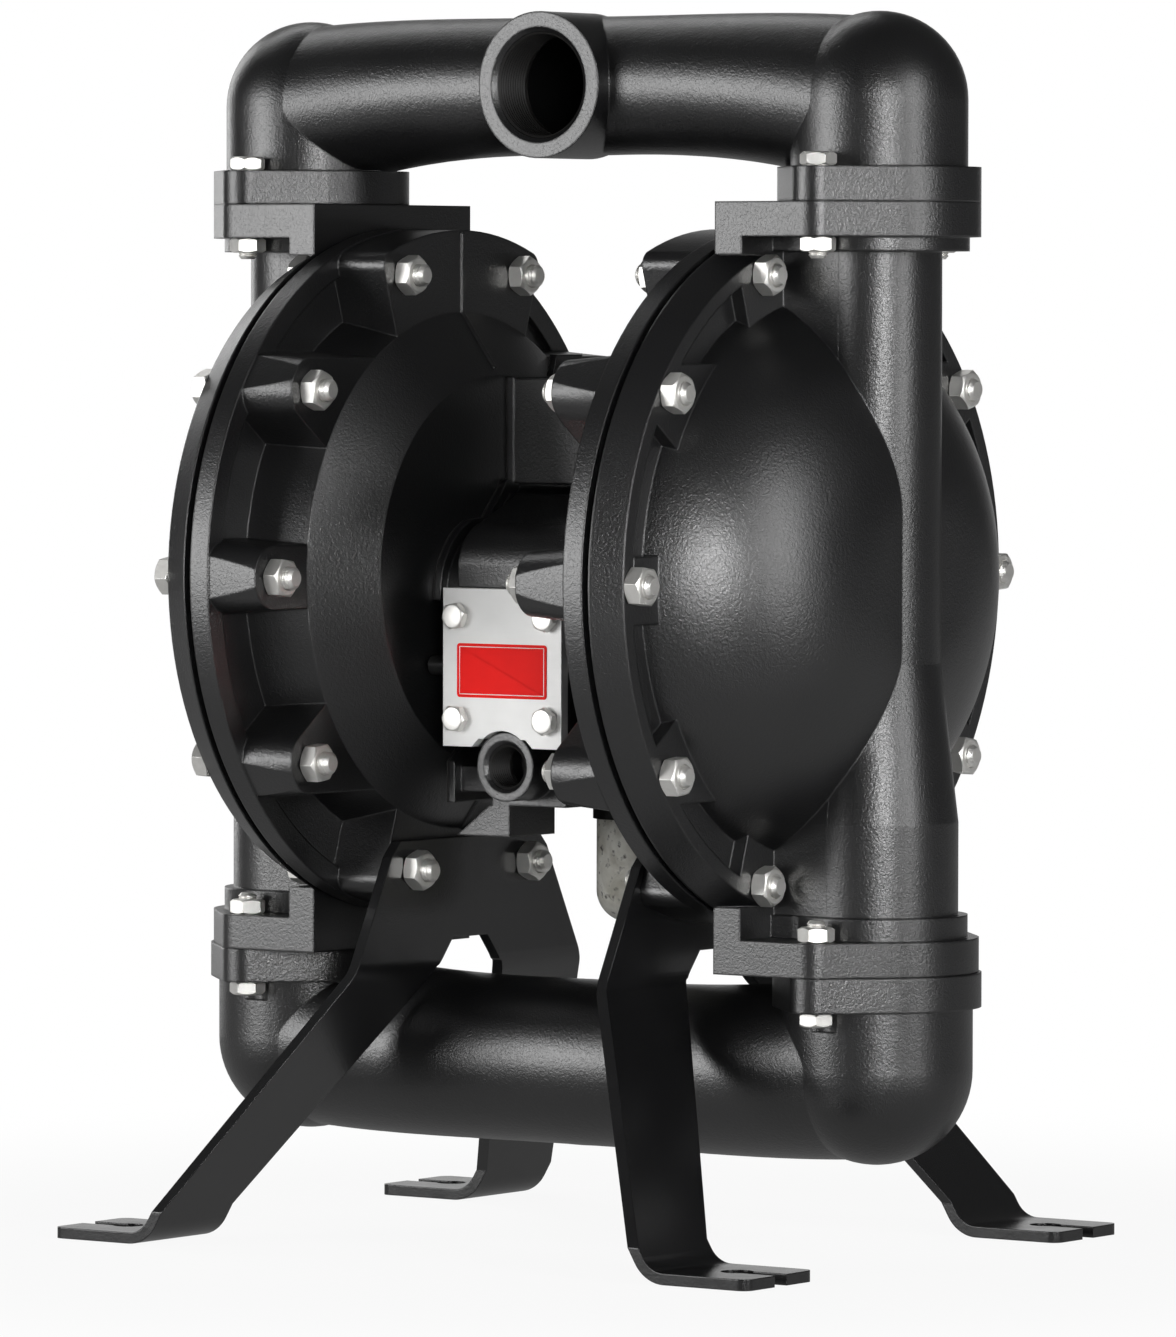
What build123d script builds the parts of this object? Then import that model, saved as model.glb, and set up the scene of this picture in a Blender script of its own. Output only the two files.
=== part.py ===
from build123d import *
import os
from math import copysign, cos, radians, sqrt

# Air operated double diaphragm pump, 2 inch, metallic, standing on two bent leg brackets.
# +Z is up and the origin is on the floor, midway between the four feet. The connecting rod runs
# along X through both chambers. The front, with the outlet port and the valve cover, faces -Y.

os.makedirs("parts", exist_ok=True)

# ---- driving dimensions, millimetres ---------------------------------------------------------
AXIS_Z = 360.0            # connecting rod above the floor
FIT = 0.05                # radial clearance of a running or locating fit
SEAT_GAP = 0.3            # a ball over its seat
HOLE_CLEARANCE = 0.6      # radial clearance of a bolt hole

# chamber flanges and their studs
MATING_X = 128.0          # air cap's clamping face, from the middle of the pump
BEAD_T = 4.0              # diaphragm edge clamped between the caps
AIR_FLANGE_T = 12.0
FLUID_FLANGE_T = 17.0
FLANGE_R = 187.0
FLANGE_FACE_R = FLANGE_R - 8.0    # the fluid cap's rim tapers to this at its outer face
BOLT_CIRCLE_R = FLANGE_R - 17.5
STUD_COUNT = 10
STUD_R = 6.0
STUD_TIP_OUTER = 3.5      # stud past the outer nut
STUD_TIP_INNER = 5.5      # stud past the inner nut
NUT_AF = 19.0
NUT_T = 9.5

# fluid cap
FLUID_WALL = 8.0
DOME_APEX_X = 215.6
DOME_CROWN_R = 40.0       # flat middle of the dome
DOME_BASE_R = BOLT_CIRCLE_R - 17.5
LIP_INNER_R = FLANGE_R - 16.0     # raised lip round the rim
CHANNEL_DEPTH = 8.0       # sunk channel between lip and dome
PAD_LEVEL_W = 15.0        # stud centre to the level side of a nut pad
PAD_RADIAL_W = 20.0       # stud centre to the side that points at the rod
PAD_INNER_R = BOLT_CIRCLE_R - 25.5
TUBE_X = 188.0            # vertical fluid passage
TUBE_R = 33.5
WEB_FOOT_INSET = 3.5      # side walls start this far inside the passage's outline
WEB_HEAD_INSET = 1.0
CAGE_R = 43.0             # lower end of the passage, round the ball cage
PORT_TOP_Z = AXIS_Z + FLANGE_R + 13.0     # joint between fluid cap and outlet manifold
PORT_LOW_Z = AXIS_Z - FLANGE_R - 20.5     # joint between fluid cap and inlet manifold
CAGE_TOP_Z = PORT_LOW_Z + 79.5
CAGE_NECK_Z = PORT_LOW_Z + 163.5
PORT_FLANGE_T = 18.5
PORT_FLANGE_R = 54.0
PLATE_HALF_W = 72.0       # half width of the port flange plate, along Y
COLLAR_R = 48.0
COLLAR_T = 7.5
DUCT_BASE_T = 12.0

# port flange bolts
PORT_BOLT_Y = 58.0
PORT_EAR_R = 14.0
PORT_BOLT_R = 5.0
PORT_BOLT_AF = 17.0
PORT_HEAD_T = 7.5
PORT_NUT_T = 8.0
PORT_BOLT_TIP = 3.5
SPOT_FACE_R = 11.0
SPOT_FACE_H = 11.0

# air cap
AIR_WALL = 8.0
BOWL_FLOOR_X = 60.5       # flat bottom of the bowl, towards the centre body
BOWL_ROOT_R = BOLT_CIRCLE_R - 20.5
BOWL_KNEE_R = BOWL_ROOT_R - 8.0
BOWL_FLOOR_R = BOWL_KNEE_R - 34.0
BOSS_FACE_X = 85.0        # nut faces, and the knee of the bowl
BOSS_HALF_W = 17.0        # round nose of a stud boss, and stud centre to its sides
BOSS_SINK = 4.0           # bosses run this far into the bowl
BOSS_DRAFT = 5.0          # degrees
TWIN_CORNER_R = 8.0       # one wide boss carries the two studs at the top, another the lowest two
SEAM_W = 2.4              # mould seam up the front of the bowl
SEAM_H = 1.2
POCKET_DEPTH = 4.0        # sunk floor between the bosses
RIM_LIP_W = 12.0

# centre body
BODY_GASKET_T = 1.0
BODY_FLANGE_T = 4.0
BODY_INSET = 6.0          # core inside the outline of its end flanges
BODY_EDGE_Y = 7.0         # upright front edge of the end flanges
BODY_EDGE_INSET = 1.0     # core inside that edge
BODY_TOP = 118.0          # above the rod axis
BODY_SHOULDER = 106.0
BODY_BOTTOM = 124.0       # below the rod axis
BODY_BACK_Y = 72.0
BODY_FRONT_Y = 47.0       # front of the underside
LUG_NEAR_X = 13.0         # lug under the air inlet
LUG_FAR_X = 48.0
LUG_SLANT = 22.0
LUG_LENGTH = 42.0
LUG_DEPTH = 17.0
BODY_STEP_Y = 45.0
BROW_FRONT_Y = 60.0       # end flanges rise in a brow over the valve housing
BROW_TOP = 29.0
BROW_LOW = -14.0
BROW_VALLEY_Y = 16.0
BROW_LOBE = 48.0          # small lobe where the brow meets the upright edge
BROW_BACK_Y = 26.0
VALVE_HALF_W = 38.6
VALVE_FRONT_Y = 72.0      # all front distances are taken towards -Y
VALVE_MID = 49.0          # middle of the valve cover below the rod axis
HUB_R = 26.0
BODY_SCREW_R = 4.0
BODY_SCREW_HEAD_R = 6.5
BODY_SCREW_HEAD_T = 6.0
BODY_SCREW_LENGTH = 20.0
BODY_SCREWS = ((14.0, 84.0), (60.0, 60.0), (60.0, -60.0), (14.0, -84.0))

# valve cover
COVER_GASKET_T = 2.0
COVER_T = 6.0
COVER_HALF_W = 39.0
COVER_H = 85.0
COVER_BOLT_X = 29.5
COVER_BOLT_Z = 27.5
COVER_BOLT_R = 4.0
COVER_BOLT_AF = 13.0
COVER_HEAD_T = 5.3
NOTCH_GAP = 1.0           # cover to the air inlet boss
NOTCH_HALF_W = 20.0
NOTCH_SLOPE = 4.5
COVER_BOLT_DEPTH = 18.0

# air inlet, 3/4 inch pipe thread
INLET_DROP = 102.0        # below the rod axis
INLET_BOSS_R = 18.5
INLET_FACE_Y = 77.0
INLET_BORE_R = 12.1
INLET_MOUTH_R = 14.2
INLET_DEPTH = 32.0

# valve spool, manual override and side plug
SPOOL_Y = 40.0
SPOOL_R = 9.0
SPOOL_TRAVEL = 5.0
SLEEVE_R = 14.0
SPOOL_CAP_R = 17.0
SPOOL_CAP_T = 3.0
SPOOL_LAND_W = 9.0
SPOOL_GROOVE = 2.5
BUTTON_Y = 63.0
BUTTON_R = 5.2
BUTTON_REACH = 58.5       # outer end from the middle of the pump
BUTTON_TRAVEL = 4.0
BUSHING_R = 8.0
BUSHING_T = 3.0
SIDE_PLUG_R = 9.0
SIDE_PLUG_T = 4.0

# rod, diaphragms and pilot rod
ROD_R = 10.0
ROD_BUSH_WALL = 3.0
ROD_BUSH_LENGTH = 26.0
STROKE = 22.0             # each way
HUB_PLANE_X = 100.0       # diaphragm centre at mid stroke
DIAPHRAGM_T = 4.5
DIAPHRAGM_R = FLANGE_R - 6.0
DIAPHRAGM_CLAMP_R = BOWL_ROOT_R - 10.0
WASHER_R = 62.0
WASHER_T = 6.0
OUTER_WASHER_T = 10.0
SCREW_R = 6.0
SCREW_HEAD_AF = 19.0
SCREW_HEAD_T = 9.0
PILOT_Y = 38.0            # behind the rod
PILOT_R = 4.0
PILOT_TRAVEL = 4.0
PILOT_BUSH_WALL = 2.5

# balls, seats and rings
BALL_R = 30.0
BALL_LIFT = 16.0
SEAT_R = 36.0
SEAT_BORE_R = 24.0
SEAT_T = 12.0
RING_INNER_R = 37.5       # flat sealing ring round a seat
RING_W = 3.0
RING_T = 2.0
CAGE_BORE_R = 34.0
PASSAGE_R = 26.0
GUIDE_CLEARANCE = 1.5     # ball to cage rib
RIB_W = 5.0
RIB_COUNT = 4

# manifolds
PIPE_WALL = 8.0
OUTLET_CROWN_Z = PORT_TOP_Z + 101.0       # the straight top line of the outlet manifold
OUTLET_PIPE_R = 37.7
OUTLET_ELBOW_R = 47.0
INLET_CROWN_Z = PORT_LOW_Z - 103.0        # the straight bottom line of the inlet manifold
INLET_PIPE_R = 45.2
INLET_ELBOW_R = 51.0
FLARE_START_X = 62.0
FLARE_END_X = 174.0
PORT_BOSS_R = 39.4        # 2 inch pipe thread
PORT_BORE_R = 28.6
PORT_MOUTH_R = 31.2
OUTLET_FACE_Y = 47.5
INLET_PORT_FACE_Y = 57.0

# leg brackets
LEG_T = 6.0
LEG_TOP_MARGIN = 16.0     # plate above the two studs
LEG_BEND_Z = PORT_LOW_Z - 7.5
FOOT_BEND_X = 165.0
FOOT_END_X = 227.4
FOOT_FAR_Y = 179.7
FOOT_W = 62.5
LEG_HIP_Y = 104.0         # outer edge of a leg at the bend
LEG_SHOULDER_Y = 72.0
ARCH_HALF_W = 30.0
ARCH_TOP_Z = PORT_LOW_Z + 7.5
BEND_R = 18.0
ANCHOR_R = 8.5
ANCHOR_SLOT_W = 11.0
ANCHOR_X = 200.0
CORNER_R = 6.0

# exhaust muffler
MUFFLER_Y = 53.0
MUFFLER_R = 26.0
MUFFLER_BOTTOM_Z = 168.0
MUFFLER_TOP_Z = 225.0
MUFFLER_ROUND = 18.0
MUFFLER_COLLAR_R = 28.0
EXHAUST_R = 10.0

# ---- shared places ---------------------------------------------------------------------------
FLUID_X = MATING_X + BEAD_T
FLUID_FACE_X = FLUID_X + FLUID_FLANGE_T
CHANNEL_X = FLUID_FACE_X - CHANNEL_DEPTH
AIR_BACK_X = MATING_X - AIR_FLANGE_T
POCKET_X = AIR_BACK_X + POCKET_DEPTH
BODY_HALF = BOWL_FLOOR_X - BODY_GASKET_T
STUD_HOLE_R = STUD_R + HOLE_CLEARANCE
PORT_BOLT_HOLE_R = PORT_BOLT_R + HOLE_CLEARANCE / 2
FIRST_STUD = 180 / STUD_COUNT
LOWEST_STUD_Z = AXIS_Z - BOLT_CIRCLE_R * cos(radians(FIRST_STUD))
BALL_RISE = sqrt(BALL_R**2 - SEAT_BORE_R**2) + SEAT_GAP
STUD_PLACES = [
    place.position for place in PolarLocations(BOLT_CIRCLE_R, STUD_COUNT, start_angle=90 + FIRST_STUD)
]
TWINS = (STUD_PLACES[0], STUD_PLACES[-1])     # the two studs nearest the top, left then right
ROD_AXIS = Axis((0, 0, AXIS_Z), (1, 0, 0))
PROFILE = Plane(origin=(0, 0, AXIS_Z), x_dir=(1, 0, 0), z_dir=(0, -1, 0))


def across(x):
    """Plane square to the rod at x: its own x runs along Y, its own y up from the rod axis."""
    return Plane(origin=(x, 0, AXIS_Z), x_dir=(0, 1, 0), z_dir=(1, 0, 0))


def facing_front(y):
    """Plane facing -Y at y: its own x runs along X, its own y up from the rod axis."""
    return Plane(origin=(0, y, AXIS_Z), x_dir=(1, 0, 0), z_dir=(0, -1, 0))


def level(z):
    return Plane.XY.offset(z)


def save(builder, name):
    builder.part.label = name
    export_step(builder.part, f"parts/{name}.step")


def save_pair(builder, name):
    """Write a right-hand piece, and its mirror image on the left."""
    save(builder, "right_" + name)
    with BuildPart() as left:
        mirror(builder.part, about=Plane.YZ)
    save(left, "left_" + name)


def port_flange_outline(radius, with_plate):
    """Rounded end, two bolt ears, and for a fluid cap the plate back to its rim."""
    with Locations((TUBE_X, 0)):
        Circle(radius)
    with Locations((TUBE_X, PORT_BOLT_Y), (TUBE_X, -PORT_BOLT_Y)):
        Circle(PORT_EAR_R)
    make_hull()
    if with_plate:
        with Locations((FLUID_X, 0)):
            Rectangle(TUBE_X - FLUID_X, 2 * PLATE_HALF_W, align=(Align.MIN, Align.CENTER))


def port_bolt_holes(z, thickness):
    with BuildSketch(level(z)) as holes:
        with Locations((TUBE_X, PORT_BOLT_Y), (TUBE_X, -PORT_BOLT_Y)):
            Circle(PORT_BOLT_HOLE_R)
    extrude(holes.sketch, amount=thickness, mode=Mode.SUBTRACT)


def ring_groove(z):
    """Groove for a seat's sealing ring, sunk in the face at z."""
    with BuildSketch(level(z)) as groove:
        with Locations((TUBE_X, 0)):
            Circle(RING_INNER_R + RING_W + FIT)
            Circle(RING_INNER_R - FIT, mode=Mode.SUBTRACT)
    extrude(groove.sketch, amount=-RING_T, mode=Mode.SUBTRACT)


def stud_holes(x, length):
    with BuildSketch(across(x)) as holes:
        with PolarLocations(BOLT_CIRCLE_R, STUD_COUNT, start_angle=90 + FIRST_STUD):
            Circle(STUD_HOLE_R)
    extrude(holes.sketch, amount=length, mode=Mode.SUBTRACT)


def radial_side(place, half_w):
    """Where a boss's side that points at the rod passes a stud, and the way it runs."""
    to_rod = -place.normalized()
    turn = copysign(1, place.X) * (-1 if place.Y < -FIT else 1)
    return place + Vector(-to_rod.Y, to_rod.X) * turn * half_w, to_rod


def boss_block(place, level_w, radial_w, inner_r, reach):
    """Four-sided boss on a stud: its near side points at the rod and its far side runs level, or
    stands in the middle plane where two studs share it."""
    near, to_rod = radial_side(place, radial_w)
    near_in = near + to_rod * (BOLT_CIRCLE_R - inner_r)
    far_y = place.Y + (-level_w if place.Y < -FIT else level_w)
    if abs(far_y) < inner_r:
        far_out = (place.X, far_y)
        far_in = (copysign(sqrt(inner_r**2 - far_y**2), place.X), far_y)
    else:
        far_out = (0, copysign(BOLT_CIRCLE_R + reach, place.Y))
        far_in = (0, copysign(inner_r, place.Y))
    Polygon(far_out, far_in, near_in, near - to_rod * reach, align=None)


# ---- fluid caps: domed chamber wall with the vertical passage cast on ------------------------
with BuildPart() as fluid_cap:
    with BuildSketch(PROFILE):
        with BuildLine():
            crown = Line((DOME_APEX_X, 0), (DOME_APEX_X, DOME_CROWN_R))
            TangentArc(crown @ 1, (CHANNEL_X, DOME_BASE_R), tangent=(0, 1))
            Polyline(
                (CHANNEL_X, DOME_BASE_R), (CHANNEL_X, LIP_INNER_R), (FLUID_FACE_X, LIP_INNER_R),
                (FLUID_FACE_X, FLANGE_FACE_R), (FLUID_X, FLANGE_R), (FLUID_X, 0), crown @ 0,
            )
        make_face()
    revolve(axis=ROD_AXIS)

    # pads under the outer nuts
    with BuildSketch(across(CHANNEL_X)):
        for stud in STUD_PLACES:
            boss_block(stud, PAD_LEVEL_W, PAD_RADIAL_W, PAD_INNER_R, LIP_INNER_R - BOLT_CIRCLE_R + 1)
        Circle(LIP_INNER_R + 1, mode=Mode.INTERSECT)
    extrude(amount=CHANNEL_DEPTH)

    # square blocks that carry the rim up and down to the port flanges
    rim_block_low = LIP_INNER_R + 1
    for port_z, up in ((PORT_TOP_Z, 1), (PORT_LOW_Z, -1)):
        block_h = abs(port_z - AXIS_Z) - rim_block_low
        with BuildSketch(across(FLUID_X)):
            with Locations((0, up * (rim_block_low + block_h / 2))):
                Rectangle(2 * PLATE_HALF_W, block_h)
        extrude(amount=FLUID_FLANGE_T)
        with BuildSketch(level(port_z)):
            port_flange_outline(PORT_FLANGE_R, with_plate=True)
        extrude(amount=-up * PORT_FLANGE_T)
        inner_z = port_z - up * PORT_FLANGE_T
        with BuildSketch(level(inner_z)):
            with Locations((TUBE_X, 0)):
                Circle(COLLAR_R)
            with Locations((FLUID_X, 0)):
                Rectangle(TUBE_X - FLUID_X, 2 * COLLAR_R - 10, align=(Align.MIN, Align.CENTER))
        extrude(amount=-up * (COLLAR_T if up > 0 else DUCT_BASE_T))

    # vertical passage, wider round the ball cage at its foot
    with BuildSketch(Plane.XZ):
        with BuildLine():
            Polyline(
                (TUBE_X, PORT_LOW_Z), (TUBE_X + CAGE_R, PORT_LOW_Z), (TUBE_X + CAGE_R, CAGE_TOP_Z),
                (TUBE_X + TUBE_R, CAGE_NECK_Z), (TUBE_X + TUBE_R, PORT_TOP_Z), (TUBE_X, PORT_TOP_Z),
                close=True,
            )
        make_face()
    revolve(axis=Axis((TUBE_X, 0, 0), (0, 0, 1)))

    # side walls between the rim and the passage, which they meet in a tangent
    for wall_x, foot_w, head_w in (
        (CHANNEL_X, CAGE_R - WEB_FOOT_INSET, TUBE_R - WEB_HEAD_INSET),
        (TUBE_X - WEB_FOOT_INSET, CAGE_R - FIT, TUBE_R - FIT),
    ):
        with BuildSketch(Plane(origin=(wall_x, 0, 0), x_dir=(0, 1, 0), z_dir=(1, 0, 0))):
            with BuildLine():
                Polyline(
                    (-foot_w, PORT_LOW_Z), (-foot_w, CAGE_TOP_Z), (-head_w, CAGE_NECK_Z),
                    (-head_w, PORT_TOP_Z), (head_w, PORT_TOP_Z), (head_w, CAGE_NECK_Z),
                    (foot_w, CAGE_TOP_Z), (foot_w, PORT_LOW_Z), close=True,
                )
            make_face()
    loft(ruled=True)

    # chamber cavity, passage, ball cage and seat recess
    with BuildSketch(PROFILE):
        with BuildLine():
            inner_crown = Line((DOME_APEX_X - FLUID_WALL, 0), (DOME_APEX_X - FLUID_WALL, DOME_CROWN_R))
            TangentArc(inner_crown @ 1, (CHANNEL_X - 3, DOME_BASE_R - FLUID_WALL), tangent=(0, 1))
            Polyline(
                (CHANNEL_X - 3, DOME_BASE_R - FLUID_WALL), (FLUID_X, DOME_BASE_R - FLUID_WALL),
                (FLUID_X, 0), inner_crown @ 0,
            )
        make_face()
    revolve(axis=ROD_AXIS, mode=Mode.SUBTRACT)
    cage_top = PORT_LOW_Z + BALL_RISE + BALL_LIFT + sqrt(BALL_R**2 - PASSAGE_R**2) + SEAT_GAP
    with BuildSketch(Plane.XZ):
        with BuildLine():
            Polyline(
                (TUBE_X, PORT_LOW_Z), (TUBE_X + CAGE_BORE_R, PORT_LOW_Z), (TUBE_X + CAGE_BORE_R, cage_top),
                (TUBE_X + PASSAGE_R, cage_top), (TUBE_X + PASSAGE_R, PORT_TOP_Z - SEAT_T),
                (TUBE_X + SEAT_R + FIT, PORT_TOP_Z - SEAT_T), (TUBE_X + SEAT_R + FIT, PORT_TOP_Z),
                (TUBE_X, PORT_TOP_Z), close=True,
            )
        make_face()
    revolve(axis=Axis((TUBE_X, 0, 0), (0, 0, 1)), mode=Mode.SUBTRACT)

    ring_groove(PORT_TOP_Z)
    stud_holes(FLUID_X, FLUID_FLANGE_T)
    port_bolt_holes(PORT_TOP_Z - PORT_FLANGE_T, PORT_FLANGE_T)
    port_bolt_holes(PORT_LOW_Z, PORT_FLANGE_T)
save_pair(fluid_cap, "fluid_cap")


# ---- air caps: bowl with a ring of stud bosses, open towards the diaphragm --------------------
boss_inner_r = BOWL_KNEE_R - BOSS_SINK
with BuildPart() as air_cap:
    # bosses with round noses on the single studs
    with BuildSketch(across(BOSS_FACE_X)):
        for stud in STUD_PLACES:
            if abs(stud.Y) < BOWL_FLOOR_R:
                with Locations(stud):
                    Circle(BOSS_HALF_W)
                boss_block(stud, BOSS_HALF_W, BOSS_HALF_W, boss_inner_r, 0)
    extrude(amount=MATING_X - BOSS_FACE_X, taper=-BOSS_DRAFT)

    # wide bosses on the twin studs at the top and below
    with BuildSketch(across(BOSS_FACE_X)) as twin_bosses:
        (left_side, left_way), (right_side, right_way) = (radial_side(twin, BOSS_HALF_W) for twin in TWINS)
        sink = BOLT_CIRCLE_R - boss_inner_r
        Polygon(
            left_side + left_way * sink, right_side + right_way * sink, right_side - right_way * sink,
            (0, FLANGE_R + sink), left_side - left_way * sink, align=None,
        )
        mirror(about=Plane.XZ)
        Circle(FLANGE_R - 1, mode=Mode.INTERSECT)
        rim_corners = [
            corner for corner in twin_bosses.vertices() if Vector(*corner).length > BOLT_CIRCLE_R
        ]
        fillet(rim_corners, TWIN_CORNER_R)
    extrude(amount=MATING_X - BOSS_FACE_X)
    with BuildSketch(across(BOSS_FACE_X)):
        Circle(FLANGE_R - 1)
    extrude(amount=MATING_X - BOSS_FACE_X, mode=Mode.INTERSECT)

    with BuildSketch(PROFILE):
        with BuildLine():
            Polyline(
                (BOWL_FLOOR_X, 0), (BOWL_FLOOR_X, BOWL_FLOOR_R), (BOSS_FACE_X, BOWL_KNEE_R),
                (POCKET_X, BOWL_ROOT_R), (POCKET_X, FLANGE_R - RIM_LIP_W), (AIR_BACK_X, FLANGE_R - RIM_LIP_W),
                (AIR_BACK_X, FLANGE_R), (MATING_X, FLANGE_R), (MATING_X, 0), close=True,
            )
        make_face()
    revolve(axis=ROD_AXIS)

    # mould seam: up the bowl and over the upper twin boss, and on the bowl alone below
    seam_start = Vector(BOWL_FLOOR_X, BOWL_FLOOR_R) * 0.9 + Vector(BOSS_FACE_X, BOWL_KNEE_R) * 0.1
    with BuildSketch(PROFILE):
        with BuildLine():
            Polyline(seam_start, (BOSS_FACE_X, BOWL_KNEE_R), (BOSS_FACE_X, FLANGE_R - SEAM_W))
        trace(line_width=2 * SEAM_H)
        with BuildLine():
            Line((seam_start.X, -seam_start.Y), (BOSS_FACE_X, -BOWL_KNEE_R))
        trace(line_width=2 * SEAM_H)
    extrude(amount=SEAM_W / 2, both=True)

    # air chamber
    knee_in = AIR_WALL * 0.8
    with BuildSketch(PROFILE):
        with BuildLine():
            Polyline(
                (BOWL_FLOOR_X + AIR_WALL, 0), (BOWL_FLOOR_X + AIR_WALL, BOWL_FLOOR_R - AIR_WALL / 3),
                (BOSS_FACE_X + AIR_WALL / 2, BOWL_KNEE_R - knee_in), (MATING_X, BOWL_ROOT_R - AIR_WALL),
                (MATING_X, 0), close=True,
            )
        make_face()
    revolve(axis=ROD_AXIS, mode=Mode.SUBTRACT)

    # openings for the centre body's hub, the pilot rod and the body screws
    with BuildSketch(across(BOWL_FLOOR_X)):
        Circle(HUB_R + FIT)
        with Locations((PILOT_Y, 0)):
            Circle(PILOT_R + PILOT_BUSH_WALL + 1)
        with Locations(*BODY_SCREWS):
            Circle(BODY_SCREW_R + HOLE_CLEARANCE)
    extrude(amount=AIR_WALL, mode=Mode.SUBTRACT)
    stud_holes(BOSS_FACE_X, MATING_X - BOSS_FACE_X)
save_pair(air_cap, "air_cap")


# ---- centre body: air valve housing between the two air caps ---------------------------------
# outline of its end flanges, seen along the rod
inlet_top = INLET_DROP - INLET_BOSS_R
with BuildSketch() as body_outline:
    with BuildLine():
        lobe_start = (BODY_EDGE_Y - BROW_VALLEY_Y / 2, BROW_LOBE - 2)
        lobe_end = (BODY_EDGE_Y, BROW_LOBE)
        brow_mid = ((-BROW_FRONT_Y - BROW_FRONT_Y / 2) / 2 - BODY_INSET, BROW_TOP / 2)
        ThreePointArc((-BROW_FRONT_Y, BROW_LOW), brow_mid, (-BROW_FRONT_Y / 2, BROW_TOP))
        Polyline((-BROW_FRONT_Y / 2, BROW_TOP), (-BROW_VALLEY_Y, BROW_TOP + 1), lobe_start)
        ThreePointArc(lobe_start, (BODY_EDGE_Y / 2, BROW_LOBE + 2), lobe_end)
        Polyline(
            lobe_end, (BODY_EDGE_Y, BODY_SHOULDER), (BODY_STEP_Y, BODY_SHOULDER), (BODY_STEP_Y + 3, BODY_TOP),
            (BODY_BACK_Y, BODY_TOP), (BODY_BACK_Y, -BODY_BOTTOM), (-BODY_FRONT_Y, -BODY_BOTTOM),
            (-BODY_FRONT_Y, -INLET_DROP), (-BROW_BACK_Y, -inlet_top), (-BROW_BACK_Y, BROW_LOW - BODY_INSET),
            (-BROW_FRONT_Y, BROW_LOW),
        )
    make_face()

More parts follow.
